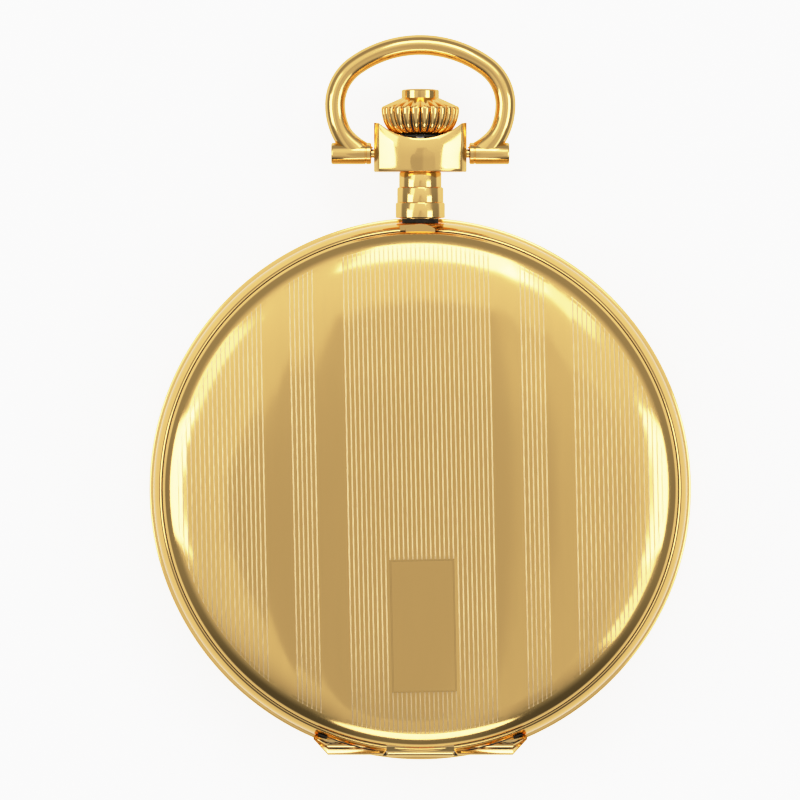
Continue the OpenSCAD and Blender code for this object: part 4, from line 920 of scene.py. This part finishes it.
def numeral(bm, word, turn_by):
    """A numeral whose foot points to the dial's middle."""
    widths = [strokes(c)[1] for c in word]
    x = -sum(widths) / 2
    turn = Matrix.Rotation(turn_by, 2)
    for c, w in zip(word, widths):
        middle = x + w / 2
        for foot, head, half in strokes(c)[0]:
            h = NUMERAL_H / 2
            shapes = [[(foot - half, -h), (foot + half, -h), (head + half, h), (head - half, h)],
                      serif(head, half, h, h + 0.08)]
            if c != "V":
                shapes.append(serif(foot, half, -h - 0.08, -h))
            for shape in shapes:
                points = [turn @ Vector((middle + px, NUMERAL_R + py)) for px, py in shape]
                slab(bm, [(q.x, q.y) for q in points])
        x += w


bm = bmesh.new()
track(bm, 0, 18.35, 19.1, 0.17)
track(bm, SECONDS_Y, 3.5, 3.95, 0.09)
words = ("XII", "I", "II", "III", "IIII", "V", "VI", "VII", "VIII", "IX", "X", "XI")
for hour, word in enumerate(words):
    if word != "VI":
        numeral(bm, word, -math.tau * hour / 12)
marks = finish_mesh(bm, "dial_marks", smooth=False)
place(marks, "case", black, "numerals", "hour_numerals")

# %% [markdown]
# The hands are cut from steel strip and filed to a low ridge along the middle, so that one side is
# always lighter than the other. Then they are heated until they turn blue. The hour hand ends in a
# spade, the minute hand is a long slim leaf, and the seconds hand is a needle with a tail.


# %% Hands
def hand_blade(name, body, node, blade, z, hub, bore, cy=0.0):
    """A ridged hand. blade is a row of (distance from the hub, half width)."""
    bm = bmesh.new()
    loft(bm, [[(-w, cy + y, z), (-w, cy + y, z + 0.05), (0, cy + y, z + 0.11), (w, cy + y, z + 0.05),
               (w, cy + y, z)] for y, w in blade], caps=True)
    turned_at(bm, [(bore, z - 0.05), (hub, z - 0.05), (hub, z + 0.11), (hub - 0.06, z + 0.16),
                   (bore, z + 0.17)], cy)
    hand = finish_mesh(bm, name, sharp=12)
    place(hand, body, blue_steel, "hands", node)


hand_blade("hour_hand_skin", "hours", "hour_hand",
           [(1.2, 0.3), (5.4, 0.2), (5.6, 0.34), (5.8, 0.2), (6.0, 0.22), (6.3, 0.75), (6.7, 1.05),
            (7.1, 1.0), (7.6, 0.62), (8.1, 0.3), (9.0, 0.14), (10.2, 0.03)], 8.47, 1.45, 1.15)
hand_blade("minute_hand_skin", "center", "minute_hand",
           [(0.9, 0.24), (4.0, 0.17), (9.4, 0.16), (9.6, 0.3), (9.8, 0.17), (10.1, 0.2), (10.6, 0.55),
            (11.1, 0.72), (11.7, 0.5), (12.4, 0.24), (13.6, 0.11), (15.5, 0.025)], 8.81, 1.1, 0.75)
hand_blade("seconds_hand_skin", "seconds", "seconds_hand",
           [(-0.9, 0.1), (-0.5, 0.13), (0.0, 0.1), (1.5, 0.07), (3.2, 0.02)], 8.31, 0.42, 0.25, SECONDS_Y)

# %% [markdown]
# Each construction node that is still shown takes the finish that its material slot names.

# %% Carried nodes
for part in frame["record"]["subparts"]:
    node = nodes[part["node"]]
    node.data.materials.clear()
    node.data.materials.append(FINISHES[part["material_slot"]])

# %% [markdown]
# The stage is a plain pale floor. It glows a little, so that the watch lies on nearly white ground
# with no hard shadow. It isn't seen in the metal, which mirrors the room instead.

# %% Floor
bm = bmesh.new()
floor_place = Matrix.Translation((0, 0, -0.05 * MM))
bmesh.ops.create_grid(bm, x_segments=1, y_segments=1, size=2.0, matrix=floor_place)
floor = new_piece(bm, "floor")
pale = bpy.data.materials.new("pale_floor")
pale.use_nodes = True
set_inputs(pale.node_tree.nodes["Principled BSDF"],
           {"Base Color": (0.86, 0.86, 0.86, 1), "Roughness": 0.9, "Emission Color": (1, 1, 1, 1),
            "Emission Strength": 0.95})
floor.data.materials.append(pale)
floor.visible_glossy = False

# %% [markdown]
# Polished metal shows what stands round it, so the lights are soft panels. They stand at the sides,
# half way up, round an opening where the camera looks down, and draw the bright lines along the
# lid's shoulder and the bow.


# %% Lights
def panel(name, azimuth, elevation, distance, width, height, level, colour=(1, 0.99, 0.97)):
    """A soft light panel that faces the watch. level is how bright its face looks."""
    lamp = bpy.data.lights.new(name, "AREA")
    lamp.shape = "RECTANGLE"
    lamp.size, lamp.size_y = width, height
    lamp.energy = level * math.pi * width * height
    lamp.color = colour
    holder = bpy.data.objects.new(name, lamp)
    bpy.context.scene.collection.objects.link(holder)
    a, e = math.radians(azimuth), math.radians(elevation)
    way = Vector((math.cos(a) * math.cos(e), math.sin(a) * math.cos(e), math.sin(e)))
    holder.location = way * distance
    holder.rotation_mode = "QUATERNION"
    holder.rotation_quaternion = way.to_track_quat("Z", "Y")
    holder.visible_camera = False
    return lamp


panel("right", 0, 44, 0.7, 0.30, 0.30, 3.0)
panel("right_low", -28, 44, 0.7, 0.20, 0.18, 1.5)
panel("top", 84, 48, 0.7, 0.34, 0.26, 2.6)
panel("top_right", 55, 52, 0.7, 0.20, 0.16, 1.2)
panel("left", 178, 38, 0.7, 0.30, 0.34, 3.1)
panel("left_top", 150, 46, 0.7, 0.20, 0.22, 1.2)
panel("bottom", 271, 32, 0.7, 0.46, 0.2, 2.2).shape = "ELLIPSE"

# %% [markdown]
# The room round the stage is brighter towards the top of the picture, and dark low down, as in a
# light tent that stands open at the bottom.

# %% Room
world = bpy.data.worlds.new("studio")
world.use_nodes = True
n, link = world.node_tree.nodes, world.node_tree.links.new
way = n.new("ShaderNodeTexCoord")
parts = n.new("ShaderNodeSeparateXYZ")
link(way.outputs["Generated"], parts.inputs[0])


def ranged(socket, low, high, dark, bright):
    """Maps a value between two limits, smoothly, to a level of light."""
    node = n.new("ShaderNodeMapRange")
    node.interpolation_type = "SMOOTHSTEP"
    set_inputs(node, {"From Min": low, "From Max": high, "To Min": dark, "To Max": bright})
    link(socket, node.inputs["Value"])
    return node.outputs[0]


def combined(operation, *sockets):
    """Puts values together with a math node."""
    node = n.new("ShaderNodeMath")
    node.operation = operation
    for given, taken in zip(sockets, node.inputs):
        link(given, taken)
    return node.outputs[0]


aside = combined("ABSOLUTE", parts.outputs["X"])
across = n.new("ShaderNodeMix")
link(ranged(parts.outputs["Y"], -0.8, -0.25, 0.0, 1.0), across.inputs[0])
link(ranged(aside, 0.1, 0.4, 0.62, 0.25), across.inputs[2])
across.inputs[3].default_value = 0.78
up_room = ranged(parts.outputs["Z"], 0.42, 0.75, 0.35, 1.0)
down_room = ranged(parts.outputs["Z"], -0.3, -0.05, 0.72, 0.0)
far_room = ranged(parts.outputs["Y"], -0.1, 0.45, 1.0, 1.33)
upper = combined("MULTIPLY", combined("MULTIPLY", across.outputs[0], far_room), up_room)
link(combined("ADD", upper, down_room), n["Background"].inputs["Strength"])
n["Background"].inputs["Color"].default_value = (1.0, 0.99, 0.97, 1)
bpy.context.scene.world = world

# %% [markdown]
# A grey card hangs over the watch where the camera looks through: the flat middle of the lid mirrors
# it as a darker patch with straight sides. The card is cut to suit that image. The corners of the
# patch are given by their places in the picture, in pixels. Most are as read off the picture, and
# three were moved a few pixels. For each one the line of sight from the camera is mirrored by the
# lid's dome and followed up to the card.

# %% Grey card
CAMERA_AT, CARD_Z = Vector((-1.87, 8.19, 1200.0)), 500.0
CASE_MIDDLE, MM_A_PIXEL = (420.3, 488.9), 50 / 543
PATCH = ((260, 405), (278, 395), (342, 325), (355, 311), (495, 310), (522, 320), (545, 342), (575, 370),
         (625, 430), (630, 545), (595, 635), (525, 698), (370, 715), (320, 685), (265, 620), (232, 545),
         (230, 470))


def mirrored(px, py):
    """The place on the card that the lid shows at a place in the picture."""
    x, y = (px - CASE_MIDDLE[0]) * MM_A_PIXEL, (CASE_MIDDLE[1] - py) * MM_A_PIXEL
    r = math.hypot(x, y)
    slope = (dome_z(r + 0.01) - dome_z(r - 0.01)) / 0.02
    normal = Vector((-slope * x / r, -slope * y / r, 1)).normalized()
    seen = Vector((x, y, dome_z(r)))
    ray = (seen - CAMERA_AT).reflect(normal)
    return (seen + ray * (CARD_Z - seen.z) / ray.z) * MM


bm = bmesh.new()
bm.faces.new([bm.verts.new(mirrored(*corner)) for corner in PATCH])
card = new_piece(bm, "grey_card")
grey = bpy.data.materials.new("grey_card")
grey.use_nodes = True
shader = grey.node_tree.nodes["Principled BSDF"]
set_inputs(shader, {"Base Color": (0, 0, 0, 1), "Roughness": 1, "Emission Color": (1, 0.99, 0.97, 1)})
n, link = grey.node_tree.nodes, grey.node_tree.links.new
over = n.new("ShaderNodeTexCoord")
parts = n.new("ShaderNodeSeparateXYZ")
link(over.outputs["Object"], parts.inputs[0])
right_side = ranged(parts.outputs["X"], 0.015, 0.06, 0.53, 0.65)
far_side = ranged(parts.outputs["Y"], -0.02, 0.07, 0.0, 0.1)
link(combined("ADD", right_side, far_side), shader.inputs["Emission Strength"])
card.data.materials.append(grey)
card.visible_camera = card.visible_shadow = card.visible_diffuse = False

# %% [markdown]
# The camera looks straight down through a long lens, so that the round case stays round. The
# picture's middle lies a little above and to the left of the case's middle.

# %% Camera
SENSOR_W, PICTURE_W, SHARP_Z = 36, 0.0737, 0.006
lens = bpy.data.cameras.new("long_lens")
lens.sensor_width = SENSOR_W
camera = bpy.data.objects.new("camera", lens)
bpy.context.scene.collection.objects.link(camera)
camera.location = CAMERA_AT * MM
lens.lens = SENSOR_W * (CAMERA_AT.z * MM - SHARP_Z) / PICTURE_W
lens.clip_start = 0.01
bpy.context.scene.camera = camera
bpy.context.scene.view_settings.view_transform = "Standard"

# %% [markdown]
# A photograph of polished gold keeps its brightest reflections cream, not lemon yellow, because
# the picture's tones roll off gently towards white. A tone curve on the render does the same: up to
# the middle tones it changes nothing, and above them it eases each colour towards white.

# %% Tone curve
TOP = 4.0
scene = bpy.context.scene
scene.use_nodes = True
n, link = scene.node_tree.nodes, scene.node_tree.links.new
n.clear()
layers, final = n.new("CompositorNodeRLayers"), n.new("CompositorNodeComposite")
down = n.new("CompositorNodeMixRGB")
down.blend_type = "MULTIPLY"
down.inputs[0].default_value = 1
down.inputs[2].default_value = (1 / TOP, 1 / TOP, 1 / TOP, 1)
tones = n.new("CompositorNodeCurveRGB")
line = tones.mapping.curves[3]
for light, shown_as in ((0.3, 0.3), (0.55, 0.55), (0.8, 0.745), (1.0, 0.84), (1.5, 0.93), (2.2, 0.968),
                        (3.2, 0.99)):
    line.points.new(light / TOP, shown_as)
tones.mapping.update()
link(layers.outputs["Image"], down.inputs[1])
link(down.outputs[0], tones.inputs["Image"])
link(tones.outputs[0], final.inputs["Image"])
print("tone curve has", len(line.points), "points")
